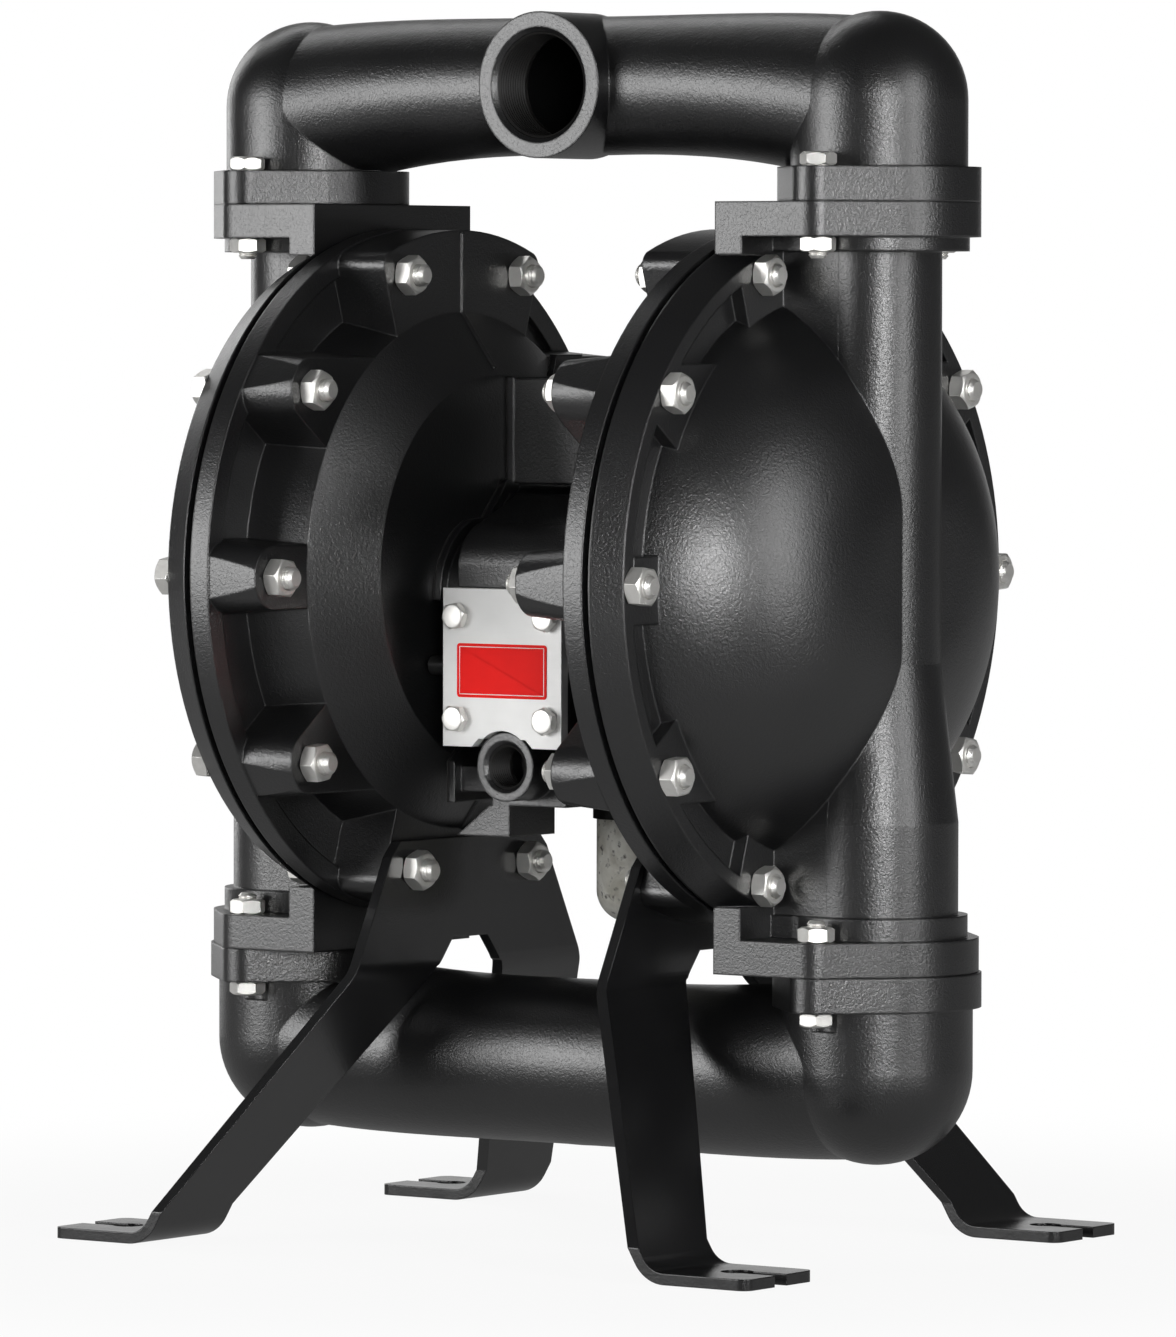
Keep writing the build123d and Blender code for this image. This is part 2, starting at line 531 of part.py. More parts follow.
with BuildPart() as center_body:
    with BuildSketch(across(-BODY_HALF + BODY_FLANGE_T / 2)):
        offset(body_outline.sketch, amount=-BODY_INSET)
        with Locations((BODY_EDGE_Y + BODY_EDGE_INSET, BROW_LOBE)):
            Rectangle(
                BODY_STEP_Y - BODY_EDGE_Y, BODY_SHOULDER - BODY_EDGE_INSET - BROW_LOBE, align=(Align.MIN, Align.MIN),
            )
    extrude(amount=2 * BODY_HALF - BODY_FLANGE_T)
    for flange_x in (-BODY_HALF, BODY_HALF - BODY_FLANGE_T):
        with BuildSketch(across(flange_x)):
            add(body_outline.sketch)
        extrude(amount=BODY_FLANGE_T)

    # valve housing standing out to the front, with a rounded brow over the cover
    cover_low = VALVE_MID + COVER_H / 2
    with BuildSketch(across(-VALVE_HALF_W)):
        with BuildLine():
            Polyline(
                (0, 42), (0, -cover_low), (-VALVE_FRONT_Y, -cover_low),
                (-VALVE_FRONT_Y, COVER_H / 2 - VALVE_MID), (-VALVE_FRONT_Y + 5, COVER_H / 2 - VALVE_MID),
                (-VALVE_FRONT_Y + 5, 6),
            )
            RadiusArc((-VALVE_FRONT_Y + 5, 6), (-46, 28), 26)
            Polyline((-46, 28), (-14, 42), (0, 42))
        make_face()
    extrude(amount=2 * VALVE_HALF_W)

    # air inlet boss and its housing
    with BuildSketch(facing_front(0)):
        with Locations((0, -INLET_DROP)):
            Rectangle(2 * (INLET_BOSS_R + 6), 2 * (BODY_BOTTOM - INLET_DROP))
    extrude(amount=BODY_FRONT_Y + 8)
    with BuildSketch(facing_front(0)):
        with Locations((0, -INLET_DROP)):
            Circle(INLET_BOSS_R)
    extrude(amount=INLET_FACE_Y)
    with BuildSketch(facing_front(-INLET_FACE_Y)):
        with Locations((0, -INLET_DROP)):
            Circle(INLET_BORE_R)
    extrude(amount=-INLET_DEPTH, mode=Mode.SUBTRACT)
    mouth = center_body.edges().filter_by(GeomType.CIRCLE).filter_by_position(
        Axis.Y, -INLET_FACE_Y - 0.1, -INLET_FACE_Y + 0.1
    ).sort_by(SortBy.RADIUS)[0]
    chamfer(mouth, INLET_MOUTH_R - INLET_BORE_R)

    # lug under the air inlet
    with BuildSketch(facing_front(-BODY_FRONT_Y - 8)):
        with BuildLine():
            Polyline(
                (-LUG_NEAR_X, -BODY_BOTTOM), (-LUG_FAR_X + LUG_SLANT, -BODY_BOTTOM),
                (-LUG_FAR_X, -BODY_BOTTOM - LUG_DEPTH), (-LUG_NEAR_X, -BODY_BOTTOM - LUG_DEPTH), close=True,
            )
        make_face()
    extrude(amount=-LUG_LENGTH)

    # hubs that centre the air caps
    with BuildSketch(across(-BODY_HALF - BODY_GASKET_T - AIR_WALL)):
        Circle(HUB_R)
    extrude(amount=2 * (BODY_HALF + BODY_GASKET_T + AIR_WALL))

    # bores along the rod: rod with its bushes, pilot rod, valve sleeve with its caps, body screws
    hub_end = BODY_HALF + BODY_GASKET_T + AIR_WALL
    with BuildSketch(across(-hub_end)):
        Circle(ROD_R + ROD_BUSH_WALL + FIT)
        with Locations((PILOT_Y, 0)):
            Circle(PILOT_R + PILOT_BUSH_WALL + FIT)
    extrude(amount=2 * hub_end, mode=Mode.SUBTRACT)
    with BuildSketch(across(-VALVE_HALF_W)):
        with Locations((-SPOOL_Y, -VALVE_MID)):
            Circle(SLEEVE_R + FIT)
    extrude(amount=2 * VALVE_HALF_W, mode=Mode.SUBTRACT)
    for cap_x in (-VALVE_HALF_W, VALVE_HALF_W - SPOOL_CAP_T):
        with BuildSketch(across(cap_x)):
            with Locations((-SPOOL_Y, -VALVE_MID)):
                Circle(SPOOL_CAP_R + FIT)
        extrude(amount=SPOOL_CAP_T, mode=Mode.SUBTRACT)
    with BuildSketch(across(-BODY_HALF), across(BODY_HALF)):
        with Locations(*BODY_SCREWS):
            Circle(BODY_SCREW_R + FIT)
    extrude(amount=BODY_SCREW_LENGTH, both=True, mode=Mode.SUBTRACT)

    # holes for the override button and the plug opposite it
    with BuildSketch(across(-VALVE_HALF_W)):
        with Locations((-BUTTON_Y, -VALVE_MID)):
            Circle(BUTTON_R + FIT)
    extrude(amount=SPOOL_CAP_R, mode=Mode.SUBTRACT)
    with BuildSketch(across(VALVE_HALF_W)):
        with Locations((-BUTTON_Y, -VALVE_MID)):
            Circle(SIDE_PLUG_R / 2 + FIT)
    extrude(amount=-SPOOL_CAP_R, mode=Mode.SUBTRACT)

    # tapped holes for the cover bolts, and the exhaust port underneath
    with BuildSketch(facing_front(-VALVE_FRONT_Y)):
        with Locations((0, -VALVE_MID)):
            with GridLocations(2 * COVER_BOLT_X, 2 * COVER_BOLT_Z, 2, 2):
                Circle(COVER_BOLT_R + FIT)
    extrude(amount=-COVER_BOLT_DEPTH, mode=Mode.SUBTRACT)
    with BuildSketch(level(AXIS_Z - BODY_BOTTOM)):
        with Locations((0, MUFFLER_Y)):
            Circle(EXHAUST_R + FIT)
    extrude(amount=COVER_BOLT_DEPTH, mode=Mode.SUBTRACT)
save(center_body, "center_body")


with BuildPart() as body_gasket:
    with BuildSketch(across(BODY_HALF)):
        add(body_outline.sketch)
        Circle(HUB_R + FIT, mode=Mode.SUBTRACT)
        with Locations((PILOT_Y, 0)):
            Circle(PILOT_R + PILOT_BUSH_WALL + 1, mode=Mode.SUBTRACT)
        with Locations(*BODY_SCREWS):
            Circle(BODY_SCREW_R + HOLE_CLEARANCE, mode=Mode.SUBTRACT)
    extrude(amount=BODY_GASKET_T)
save_pair(body_gasket, "body_gasket")


# ---- valve cover with its gasket and bolts ---------------------------------------------------
def cover_profile():
    """Plate outline, notched at the bottom over the air inlet."""
    with Locations((0, -VALVE_MID)):
        Rectangle(2 * COVER_HALF_W, COVER_H)
    with Locations((0, -INLET_DROP)):
        Circle(INLET_BOSS_R + NOTCH_GAP, mode=Mode.SUBTRACT)
    low_edge = -VALVE_MID - COVER_H / 2
    Polygon(
        (-NOTCH_HALF_W, low_edge), (-NOTCH_HALF_W + NOTCH_SLOPE, low_edge + NOTCH_SLOPE),
        (NOTCH_HALF_W - NOTCH_SLOPE, low_edge + NOTCH_SLOPE), (NOTCH_HALF_W, low_edge), align=None,
        mode=Mode.SUBTRACT,
    )
    with Locations((0, -VALVE_MID)):
        with GridLocations(2 * COVER_BOLT_X, 2 * COVER_BOLT_Z, 2, 2):
            Circle(COVER_BOLT_R + HOLE_CLEARANCE / 2, mode=Mode.SUBTRACT)


with BuildPart() as valve_cover_gasket:
    with BuildSketch(facing_front(-VALVE_FRONT_Y)):
        cover_profile()
    extrude(amount=COVER_GASKET_T)
save(valve_cover_gasket, "valve_cover_gasket")

cover_back_y = VALVE_FRONT_Y + COVER_GASKET_T
with BuildPart() as valve_cover:
    with BuildSketch(facing_front(-cover_back_y)):
        cover_profile()
    extrude(amount=COVER_T)
save(valve_cover, "valve_cover")


def hex_of(across_flats):
    """Circumscribed radius of a hexagon."""
    return across_flats / sqrt(3)


cover_face_y = cover_back_y + COVER_T
with BuildPart() as valve_cover_bolts:
    with BuildSketch(facing_front(-cover_face_y)):
        with Locations((0, -VALVE_MID)):
            with GridLocations(2 * COVER_BOLT_X, 2 * COVER_BOLT_Z, 2, 2):
                RegularPolygon(hex_of(COVER_BOLT_AF), 6)
    extrude(amount=COVER_HEAD_T)
    with BuildSketch(facing_front(-cover_face_y)):
        with Locations((0, -VALVE_MID)):
            with GridLocations(2 * COVER_BOLT_X, 2 * COVER_BOLT_Z, 2, 2):
                Circle(COVER_BOLT_R)
    extrude(amount=-(COVER_T + COVER_GASKET_T + COVER_BOLT_DEPTH - 1))
save(valve_cover_bolts, "valve_cover_bolts")

# ---- main valve: sleeve, spool and end caps, override button, plug opposite it ----------------
spool_place = (-SPOOL_Y, -VALVE_MID)
sleeve_half = VALVE_HALF_W - SPOOL_CAP_T
with BuildPart() as valve_sleeve:
    with BuildSketch(across(-sleeve_half)):
        with Locations(spool_place):
            Circle(SLEEVE_R)
            Circle(SPOOL_R + FIT, mode=Mode.SUBTRACT)
    extrude(amount=2 * sleeve_half)
save(valve_sleeve, "valve_sleeve")

spool_half = sleeve_half - SPOOL_TRAVEL - SEAT_GAP
with BuildPart() as valve_spool:
    with BuildSketch(across(-spool_half)):
        with Locations(spool_place):
            Circle(SPOOL_R - SPOOL_GROOVE)
    extrude(amount=2 * spool_half)
    for land_x in (-spool_half, -SPOOL_LAND_W / 2, spool_half - SPOOL_LAND_W):
        with BuildSketch(across(land_x)):
            with Locations(spool_place):
                Circle(SPOOL_R)
        extrude(amount=SPOOL_LAND_W)
save(valve_spool, "valve_spool")

with BuildPart() as spool_cap:
    with BuildSketch(across(sleeve_half)):
        with Locations(spool_place):
            Circle(SPOOL_CAP_R)
    extrude(amount=SPOOL_CAP_T)
save_pair(spool_cap, "spool_cap")

button_place = (-BUTTON_Y, -VALVE_MID)
button_inner = VALVE_HALF_W - SPOOL_CAP_R + BUTTON_TRAVEL + 1
with BuildPart() as override_button:
    with BuildSketch(across(-BUTTON_REACH)):
        with Locations(button_place):
            Circle(BUTTON_R)
    extrude(amount=BUTTON_REACH - button_inner)
    rim = override_button.edges().filter_by(GeomType.CIRCLE).sort_by(Axis.X)[0]
    fillet(rim, 1)
save(override_button, "override_button")

with BuildPart() as button_bushing:
    with BuildSketch(across(-VALVE_HALF_W)):
        with Locations(button_place):
            Circle(BUSHING_R)
            Circle(BUTTON_R + FIT, mode=Mode.SUBTRACT)
    extrude(amount=-BUSHING_T)
save(button_bushing, "button_bushing")

with BuildPart() as side_plug:
    with BuildSketch(across(VALVE_HALF_W)):
        with Locations(button_place):
            Circle(SIDE_PLUG_R)
    extrude(amount=SIDE_PLUG_T)
    with BuildSketch(across(VALVE_HALF_W)):
        with Locations(button_place):
            Circle(SIDE_PLUG_R / 2)
    extrude(amount=-SPOOL_CAP_R + 1)
save(side_plug, "side_plug")

# ---- rod with its bushes, the diaphragms clamped between washers, pilot rod -------------------
with BuildPart() as connecting_rod:
    with BuildSketch(across(-HUB_PLANE_X + DIAPHRAGM_T / 2 + WASHER_T)):
        Circle(ROD_R)
    extrude(amount=2 * (HUB_PLANE_X - DIAPHRAGM_T / 2 - WASHER_T))
save(connecting_rod, "connecting_rod")

with BuildPart() as rod_bush:
    with BuildSketch(across(hub_end - ROD_BUSH_LENGTH)):
        Circle(ROD_R + ROD_BUSH_WALL)
        Circle(ROD_R + FIT, mode=Mode.SUBTRACT)
    extrude(amount=ROD_BUSH_LENGTH)
save_pair(rod_bush, "rod_bush")

with BuildPart() as inner_washer:
    with BuildSketch(across(HUB_PLANE_X - DIAPHRAGM_T / 2 - WASHER_T)):
        Circle(WASHER_R)
        Circle(SCREW_R + FIT, mode=Mode.SUBTRACT)
    extrude(amount=WASHER_T)
save_pair(inner_washer, "inner_diaphragm_washer")

outer_washer_x = HUB_PLANE_X + DIAPHRAGM_T / 2
with BuildPart() as outer_washer:
    with BuildSketch(PROFILE):
        with BuildLine():
            Polyline(
                (outer_washer_x, SCREW_R + FIT), (outer_washer_x, WASHER_R),
                (outer_washer_x + OUTER_WASHER_T / 2, WASHER_R), (outer_washer_x + OUTER_WASHER_T, WASHER_R / 2),
                (outer_washer_x + OUTER_WASHER_T, SCREW_R + FIT), close=True,
            )
        make_face()
    revolve(axis=ROD_AXIS)
save_pair(outer_washer, "outer_diaphragm_washer")

screw_seat_x = outer_washer_x + OUTER_WASHER_T
with BuildPart() as diaphragm_screw:
    with BuildSketch(across(screw_seat_x)):
        RegularPolygon(hex_of(SCREW_HEAD_AF), 6)
    extrude(amount=SCREW_HEAD_T)
    with BuildSketch(across(screw_seat_x)):
        Circle(SCREW_R)
    extrude(amount=-(OUTER_WASHER_T + DIAPHRAGM_T + WASHER_T))
save_pair(diaphragm_screw, "diaphragm_screw")

# moulded profile: flat clamped edge, rolled convolution, flat hub
with BuildPart() as diaphragm:
    with BuildSketch(PROFILE):
        with BuildLine():
            outer_edge = Polyline(
                (FLUID_X, DIAPHRAGM_CLAMP_R), (FLUID_X, DIAPHRAGM_R), (MATING_X, DIAPHRAGM_R),
                (MATING_X, DIAPHRAGM_CLAMP_R),
            )
            hub = Polyline(
                (HUB_PLANE_X - DIAPHRAGM_T / 2, WASHER_R), (HUB_PLANE_X - DIAPHRAGM_T / 2, SCREW_R + FIT),
                (HUB_PLANE_X + DIAPHRAGM_T / 2, SCREW_R + FIT), (HUB_PLANE_X + DIAPHRAGM_T / 2, WASHER_R),
            )
            Spline(outer_edge @ 1, hub @ 0, tangents=((0, -1), (0, -1)))
            Spline(hub @ 1, outer_edge @ 0, tangents=((0, 1), (0, 1)))
        make_face()
    revolve(axis=ROD_AXIS)
    with BuildSketch(across(MATING_X)):
        with PolarLocations(BOLT_CIRCLE_R, STUD_COUNT, start_angle=90 + FIRST_STUD):
            Circle(STUD_HOLE_R)
    extrude(amount=BEAD_T, mode=Mode.SUBTRACT)
save_pair(diaphragm, "diaphragm")

# the washer reaches the pilot rod just before the end of the stroke
pilot_half = HUB_PLANE_X - DIAPHRAGM_T / 2 - WASHER_T - STROKE + PILOT_TRAVEL - SEAT_GAP
with BuildPart() as pilot_rod:
    with BuildSketch(across(-pilot_half)):
        with Locations((PILOT_Y, 0)):
            Circle(PILOT_R)
    extrude(amount=2 * pilot_half)
save(pilot_rod, "pilot_rod")

with BuildPart() as pilot_bush:
    with BuildSketch(across(BODY_HALF - ROD_BUSH_LENGTH)):
        with Locations((PILOT_Y, 0)):
            Circle(PILOT_R + PILOT_BUSH_WALL)
            Circle(PILOT_R + FIT, mode=Mode.SUBTRACT)
    extrude(amount=ROD_BUSH_LENGTH)
save_pair(pilot_bush, "pilot_bush")


# ---- check valves: a loose ball over a seat, four times ---------------------------------------
for valve, seat_top in (("outlet", PORT_TOP_Z), ("inlet", PORT_LOW_Z)):
    with BuildPart() as seat:
        with BuildSketch(level(seat_top)):
            with Locations((TUBE_X, 0)):
                Circle(SEAT_R)
                Circle(SEAT_BORE_R, mode=Mode.SUBTRACT)
        extrude(amount=-SEAT_T)
    save_pair(seat, valve + "_seat")

    with BuildPart() as ball:
        with Locations((TUBE_X, 0, seat_top + BALL_RISE)):
            Sphere(BALL_R)
    save_pair(ball, valve + "_ball")

with BuildPart() as seat_rings:
    for seat_top in (PORT_TOP_Z, PORT_LOW_Z):
        with BuildSketch(level(seat_top)):
            with Locations((TUBE_X, 0), (-TUBE_X, 0)):
                Circle(RING_INNER_R + RING_W)
                Circle(RING_INNER_R, mode=Mode.SUBTRACT)
        extrude(amount=-RING_T)
save(seat_rings, "seat_rings")


# ---- manifolds: a straight pipe that swells into a tight elbow at each end --------------------
def pipe_run(crown_z, pipe_r, elbow_r, leg_end_z):
    """Solid run along the crown line, with an elbow and a leg down to leg_end_z on both sides."""
    up = 1 if crown_z > leg_end_z else -1
    end_r = sqrt(elbow_r**2 - (TUBE_X - FLARE_END_X) ** 2)
    elbow_z = crown_z - up * elbow_r
    middle_x = (FLARE_START_X + FLARE_END_X) / 2
    swell = (0.35 * end_r + 0.65 * pipe_r)
    with BuildPart() as run:
        for x, r in ((0, pipe_r), (FLARE_START_X, pipe_r), (middle_x, swell), (FLARE_END_X, end_r)):
            centre_z = elbow_z if x == FLARE_END_X else crown_z - up * r
            with BuildSketch(Plane.YZ.offset(x)):
                with Locations((0, centre_z)):
                    Circle(r)
        loft()
        with Locations((TUBE_X, 0, elbow_z)):
            Sphere(elbow_r)
        with BuildSketch(level(leg_end_z)):
            with Locations((TUBE_X, 0)):
                Circle(elbow_r)
        extrude(amount=elbow_z - leg_end_z)
        mirror(about=Plane.YZ)
    return run.part


def manifold(crown_z, pipe_r, elbow_r, joint_z, flange_r, port_face_y, leg_bore_z):
    """Hollow run with a flange at each end and one threaded port in the middle."""
    up = 1 if crown_z > joint_z else -1
    front = 1 if port_face_y > 0 else -1
    port_z = crown_z - up * pipe_r
    with BuildPart() as body:
        add(pipe_run(crown_z, pipe_r, elbow_r, joint_z))
        with BuildSketch(level(joint_z)):
            port_flange_outline(flange_r, with_plate=False)
        extrude(amount=up * PORT_FLANGE_T)
        mirror(about=Plane.YZ)
        port_plane = Plane(origin=(0, 0, port_z), x_dir=(1, 0, 0), z_dir=(0, front, 0))
        with BuildSketch(port_plane):
            Circle(PORT_BOSS_R)
        extrude(amount=abs(port_face_y))
        add(
            pipe_run(crown_z - up * PIPE_WALL, pipe_r - PIPE_WALL, elbow_r - PIPE_WALL, leg_bore_z),
            mode=Mode.SUBTRACT,
        )
        with BuildSketch(port_plane.offset(abs(port_face_y))):
            Circle(PORT_BORE_R)
        extrude(amount=-abs(port_face_y), mode=Mode.SUBTRACT)
        mouth = body.edges().filter_by(GeomType.CIRCLE).filter_by_position(
            Axis.Y, port_face_y - 0.1, port_face_y + 0.1
        ).sort_by(SortBy.RADIUS)[0]
        chamfer(mouth, PORT_MOUTH_R - PORT_BORE_R)

        # bolt holes, and spot faces that let the heads turn clear of the elbow
        bolts = [(x, y) for x in (TUBE_X, -TUBE_X) for y in (PORT_BOLT_Y, -PORT_BOLT_Y)]
        with BuildSketch(level(joint_z)):
            with Locations(*bolts):
                Circle(PORT_BOLT_HOLE_R)
        extrude(amount=up * PORT_FLANGE_T, mode=Mode.SUBTRACT)
        with BuildSketch(level(joint_z + up * PORT_FLANGE_T)):
            with Locations(*bolts):
                Circle(SPOT_FACE_R)
        extrude(amount=up * SPOT_FACE_H, mode=Mode.SUBTRACT)
    return body.part


ball_top_z = PORT_TOP_Z + BALL_RISE + BALL_LIFT
cage_r = BALL_R + GUIDE_CLEARANCE
with BuildPart() as outlet_manifold:
    add(manifold(
        OUTLET_CROWN_Z, OUTLET_PIPE_R, OUTLET_ELBOW_R, PORT_TOP_Z, PORT_FLANGE_R, -OUTLET_FACE_Y,
        PORT_TOP_Z + SEAT_T / 2,
    ))
    # bore over the ball, and ribs that guide it and stop its lift
    rib_top = ball_top_z + BALL_R - 2
    with BuildSketch(level(PORT_TOP_Z)):
        with Locations((TUBE_X, 0), (-TUBE_X, 0)):
            Circle(CAGE_BORE_R)
    extrude(amount=SEAT_T, mode=Mode.SUBTRACT)
    for side in (1, -1):
        with BuildSketch(level(PORT_TOP_Z)):
            with Locations((side * TUBE_X, 0)):
                with PolarLocations((BALL_R / 2 + OUTLET_ELBOW_R - PIPE_WALL) / 2 + 1, RIB_COUNT, start_angle=45):
                    Rectangle(OUTLET_ELBOW_R - PIPE_WALL - BALL_R / 2 + 1, RIB_W)
        extrude(amount=rib_top - PORT_TOP_Z)
        with BuildSketch(level(PORT_TOP_Z)):
            with Locations((side * TUBE_X, 0)):
                Circle(cage_r)
        extrude(amount=ball_top_z - PORT_TOP_Z, mode=Mode.SUBTRACT)
        with Locations((side * TUBE_X, 0, ball_top_z)):
            Sphere(BALL_R + SEAT_GAP, mode=Mode.SUBTRACT)
save(outlet_manifold, "outlet_manifold")

with BuildPart() as inlet_manifold:
    add(manifold(
        INLET_CROWN_Z, INLET_PIPE_R, INLET_ELBOW_R, PORT_LOW_Z, PORT_FLANGE_R + 1.5, INLET_PORT_FACE_Y,
        PORT_LOW_Z - PORT_FLANGE_T,
    ))
    # recesses for the seats and their rings, and the ways up to them
    with BuildSketch(level(PORT_LOW_Z)):
        with Locations((TUBE_X, 0), (-TUBE_X, 0)):
            Circle(SEAT_R + FIT)
    extrude(amount=-SEAT_T, mode=Mode.SUBTRACT)
    with BuildSketch(level(PORT_LOW_Z)):
        with Locations((TUBE_X, 0), (-TUBE_X, 0)):
            Circle(BALL_R)
    extrude(amount=-PORT_FLANGE_T, mode=Mode.SUBTRACT)
    with BuildSketch(level(PORT_LOW_Z)):
        with Locations((TUBE_X, 0), (-TUBE_X, 0)):
            Circle(RING_INNER_R + RING_W + FIT)
            Circle(RING_INNER_R - FIT, mode=Mode.SUBTRACT)
    extrude(amount=-RING_T, mode=Mode.SUBTRACT)
save(inlet_manifold, "inlet_manifold")


# ---- leg brackets: one bent plate per chamber, hung on its two lowest studs -------------------
hip_x = BOSS_FACE_X - LEG_T / 2
leg_top_z = LOWEST_STUD_Z + LEG_TOP_MARGIN
with BuildPart() as leg_bracket:
    with BuildSketch(Plane.XZ):
        with BuildLine():
            FilletPolyline(
                (hip_x, leg_top_z), (hip_x, LEG_BEND_Z), (FOOT_BEND_X, LEG_T / 2), (FOOT_END_X, LEG_T / 2),
                radius=BEND_R,
            )
        trace(line_width=LEG_T)
    extrude(amount=FOOT_FAR_Y, both=True)

    # front view of the plate: shoulders over the studs, two splayed legs, an arch between them
    with BuildSketch(Plane.YZ):
        with BuildLine():
            Polyline(
                (0, leg_top_z), (LEG_SHOULDER_Y - 8, leg_top_z), (LEG_SHOULDER_Y, leg_top_z - 8),
                (LEG_SHOULDER_Y + 4, LOWEST_STUD_Z), (LEG_HIP_Y, LEG_BEND_Z), (FOOT_FAR_Y, BEND_R),
                (FOOT_FAR_Y, 0), (FOOT_FAR_Y - FOOT_W, 0), (FOOT_FAR_Y - FOOT_W, BEND_R),
                (ARCH_HALF_W, LEG_BEND_Z), (ARCH_HALF_W - 2, ARCH_TOP_Z - 14), (ARCH_HALF_W - 14, ARCH_TOP_Z),
                (0, ARCH_TOP_Z), close=True,
            )
        make_face()
        mirror(about=Plane.YZ)
    extrude(amount=FOOT_END_X, mode=Mode.INTERSECT)
    toe_corners = leg_bracket.edges().filter_by(Axis.Z).group_by(Axis.X)[-1]
    fillet(toe_corners, CORNER_R)

    # keyhole for an anchor bolt in each foot, open to the outside
    foot_mid_y = FOOT_FAR_Y - FOOT_W / 2
    with BuildSketch(level(0)):
        for foot_y in (foot_mid_y, -foot_mid_y):
            with Locations((ANCHOR_X, foot_y)):
                Circle(ANCHOR_R)
                Rectangle(FOOT_END_X - ANCHOR_X + 1, ANCHOR_SLOT_W, align=(Align.MIN, Align.CENTER))
    extrude(amount=LEG_T, mode=Mode.SUBTRACT)
    stud_holes(hip_x - LEG_T / 2, LEG_T)
save_pair(leg_bracket, "leg_bracket")


# ---- exhaust muffler --------------------------------------------------------------------------
body_underside_z = AXIS_Z - BODY_BOTTOM
with BuildPart() as muffler_collar:
    with BuildSketch(level(MUFFLER_TOP_Z)):
        with Locations((0, MUFFLER_Y)):
            Circle(MUFFLER_COLLAR_R)
    extrude(amount=body_underside_z - MUFFLER_TOP_Z)
    with BuildSketch(level(body_underside_z)):
        with Locations((0, MUFFLER_Y)):
            Circle(EXHAUST_R)
    extrude(amount=COVER_BOLT_DEPTH - 2)
save(muffler_collar, "muffler_collar")

with BuildPart() as muffler:
    with BuildSketch(level(MUFFLER_BOTTOM_Z)):
        with Locations((0, MUFFLER_Y)):
            Circle(MUFFLER_R)
    extrude(amount=MUFFLER_TOP_Z - MUFFLER_BOTTOM_Z)
    fillet(muffler.edges().group_by(Axis.Z)[0], MUFFLER_ROUND)
save(muffler, "muffler")


# ---- fasteners ---------------------------------------------------------------------------------
# studs run from the inner nuts to the outer ones; a leg bracket sits under the two lowest nuts
inner_nut_x = BOSS_FACE_X - NUT_T
lowest = (STUD_COUNT // 2 - 1, STUD_COUNT // 2)

with BuildPart() as chamber_studs:
    for number, place in enumerate(STUD_PLACES):
        tip = inner_nut_x - STUD_TIP_INNER - (LEG_T if number in lowest else 0)
        with BuildSketch(across(tip)):
            with Locations(place):
                Circle(STUD_R)
        extrude(amount=FLUID_FACE_X + NUT_T + STUD_TIP_OUTER - tip)
save_pair(chamber_studs, "chamber_studs")

with BuildPart() as inner_nuts:
    for number, place in enumerate(STUD_PLACES):
        seat_x = BOSS_FACE_X - (LEG_T if number in lowest else 0)
        with BuildSketch(across(seat_x)):
            with Locations(place):
                RegularPolygon(hex_of(NUT_AF), 6)
                Circle(STUD_R + FIT, mode=Mode.SUBTRACT)
        extrude(amount=-NUT_T)
save_pair(inner_nuts, "inner_nuts")

with BuildPart() as outer_nuts:
    with BuildSketch(across(FLUID_FACE_X)):
        with Locations(*STUD_PLACES):
            RegularPolygon(hex_of(NUT_AF), 6)
            Circle(STUD_R + FIT, mode=Mode.SUBTRACT)
    extrude(amount=NUT_T)
save_pair(outer_nuts, "outer_nuts")

port_places = [(x, y) for x in (TUBE_X, -TUBE_X) for y in (PORT_BOLT_Y, -PORT_BOLT_Y)]
head_seats = {"outlet": PORT_TOP_Z + PORT_FLANGE_T, "inlet": PORT_LOW_Z - PORT_FLANGE_T}
for valve, seat_z in head_seats.items():
    up = 1 if valve == "outlet" else -1
    nut_z = seat_z - up * 2 * PORT_FLANGE_T
    with BuildPart() as port_bolts:
        with BuildSketch(level(seat_z)):
            with Locations(*port_places):
                RegularPolygon(hex_of(PORT_BOLT_AF), 6)
        extrude(amount=up * PORT_HEAD_T)
        with BuildSketch(level(seat_z)):
            with Locations(*port_places):
                Circle(PORT_BOLT_R)
        extrude(amount=-up * (2 * PORT_FLANGE_T + PORT_NUT_T + PORT_BOLT_TIP))
    save(port_bolts, valve + "_manifold_bolts")
    with BuildPart() as port_nuts:
        with BuildSketch(level(nut_z)):
            with Locations(*port_places):
                RegularPolygon(hex_of(PORT_BOLT_AF), 6)
                Circle(PORT_BOLT_R + FIT, mode=Mode.SUBTRACT)
        extrude(amount=-up * PORT_NUT_T)
    save(port_nuts, valve + "_manifold_nuts")

with BuildPart() as body_screws:
    with BuildSketch(across(BOWL_FLOOR_X + AIR_WALL)):
        with Locations(*BODY_SCREWS):
            Circle(BODY_SCREW_HEAD_R)
    extrude(amount=BODY_SCREW_HEAD_T)
    with BuildSketch(across(BOWL_FLOOR_X + AIR_WALL)):
        with Locations(*BODY_SCREWS):
            Circle(BODY_SCREW_R)
    extrude(amount=-(AIR_WALL + BODY_GASKET_T + BODY_SCREW_LENGTH - 1))
save_pair(body_screws, "body_screws")
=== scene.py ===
from math import cos, pi, radians, sin

import bpy
from mathutils import Matrix, Vector


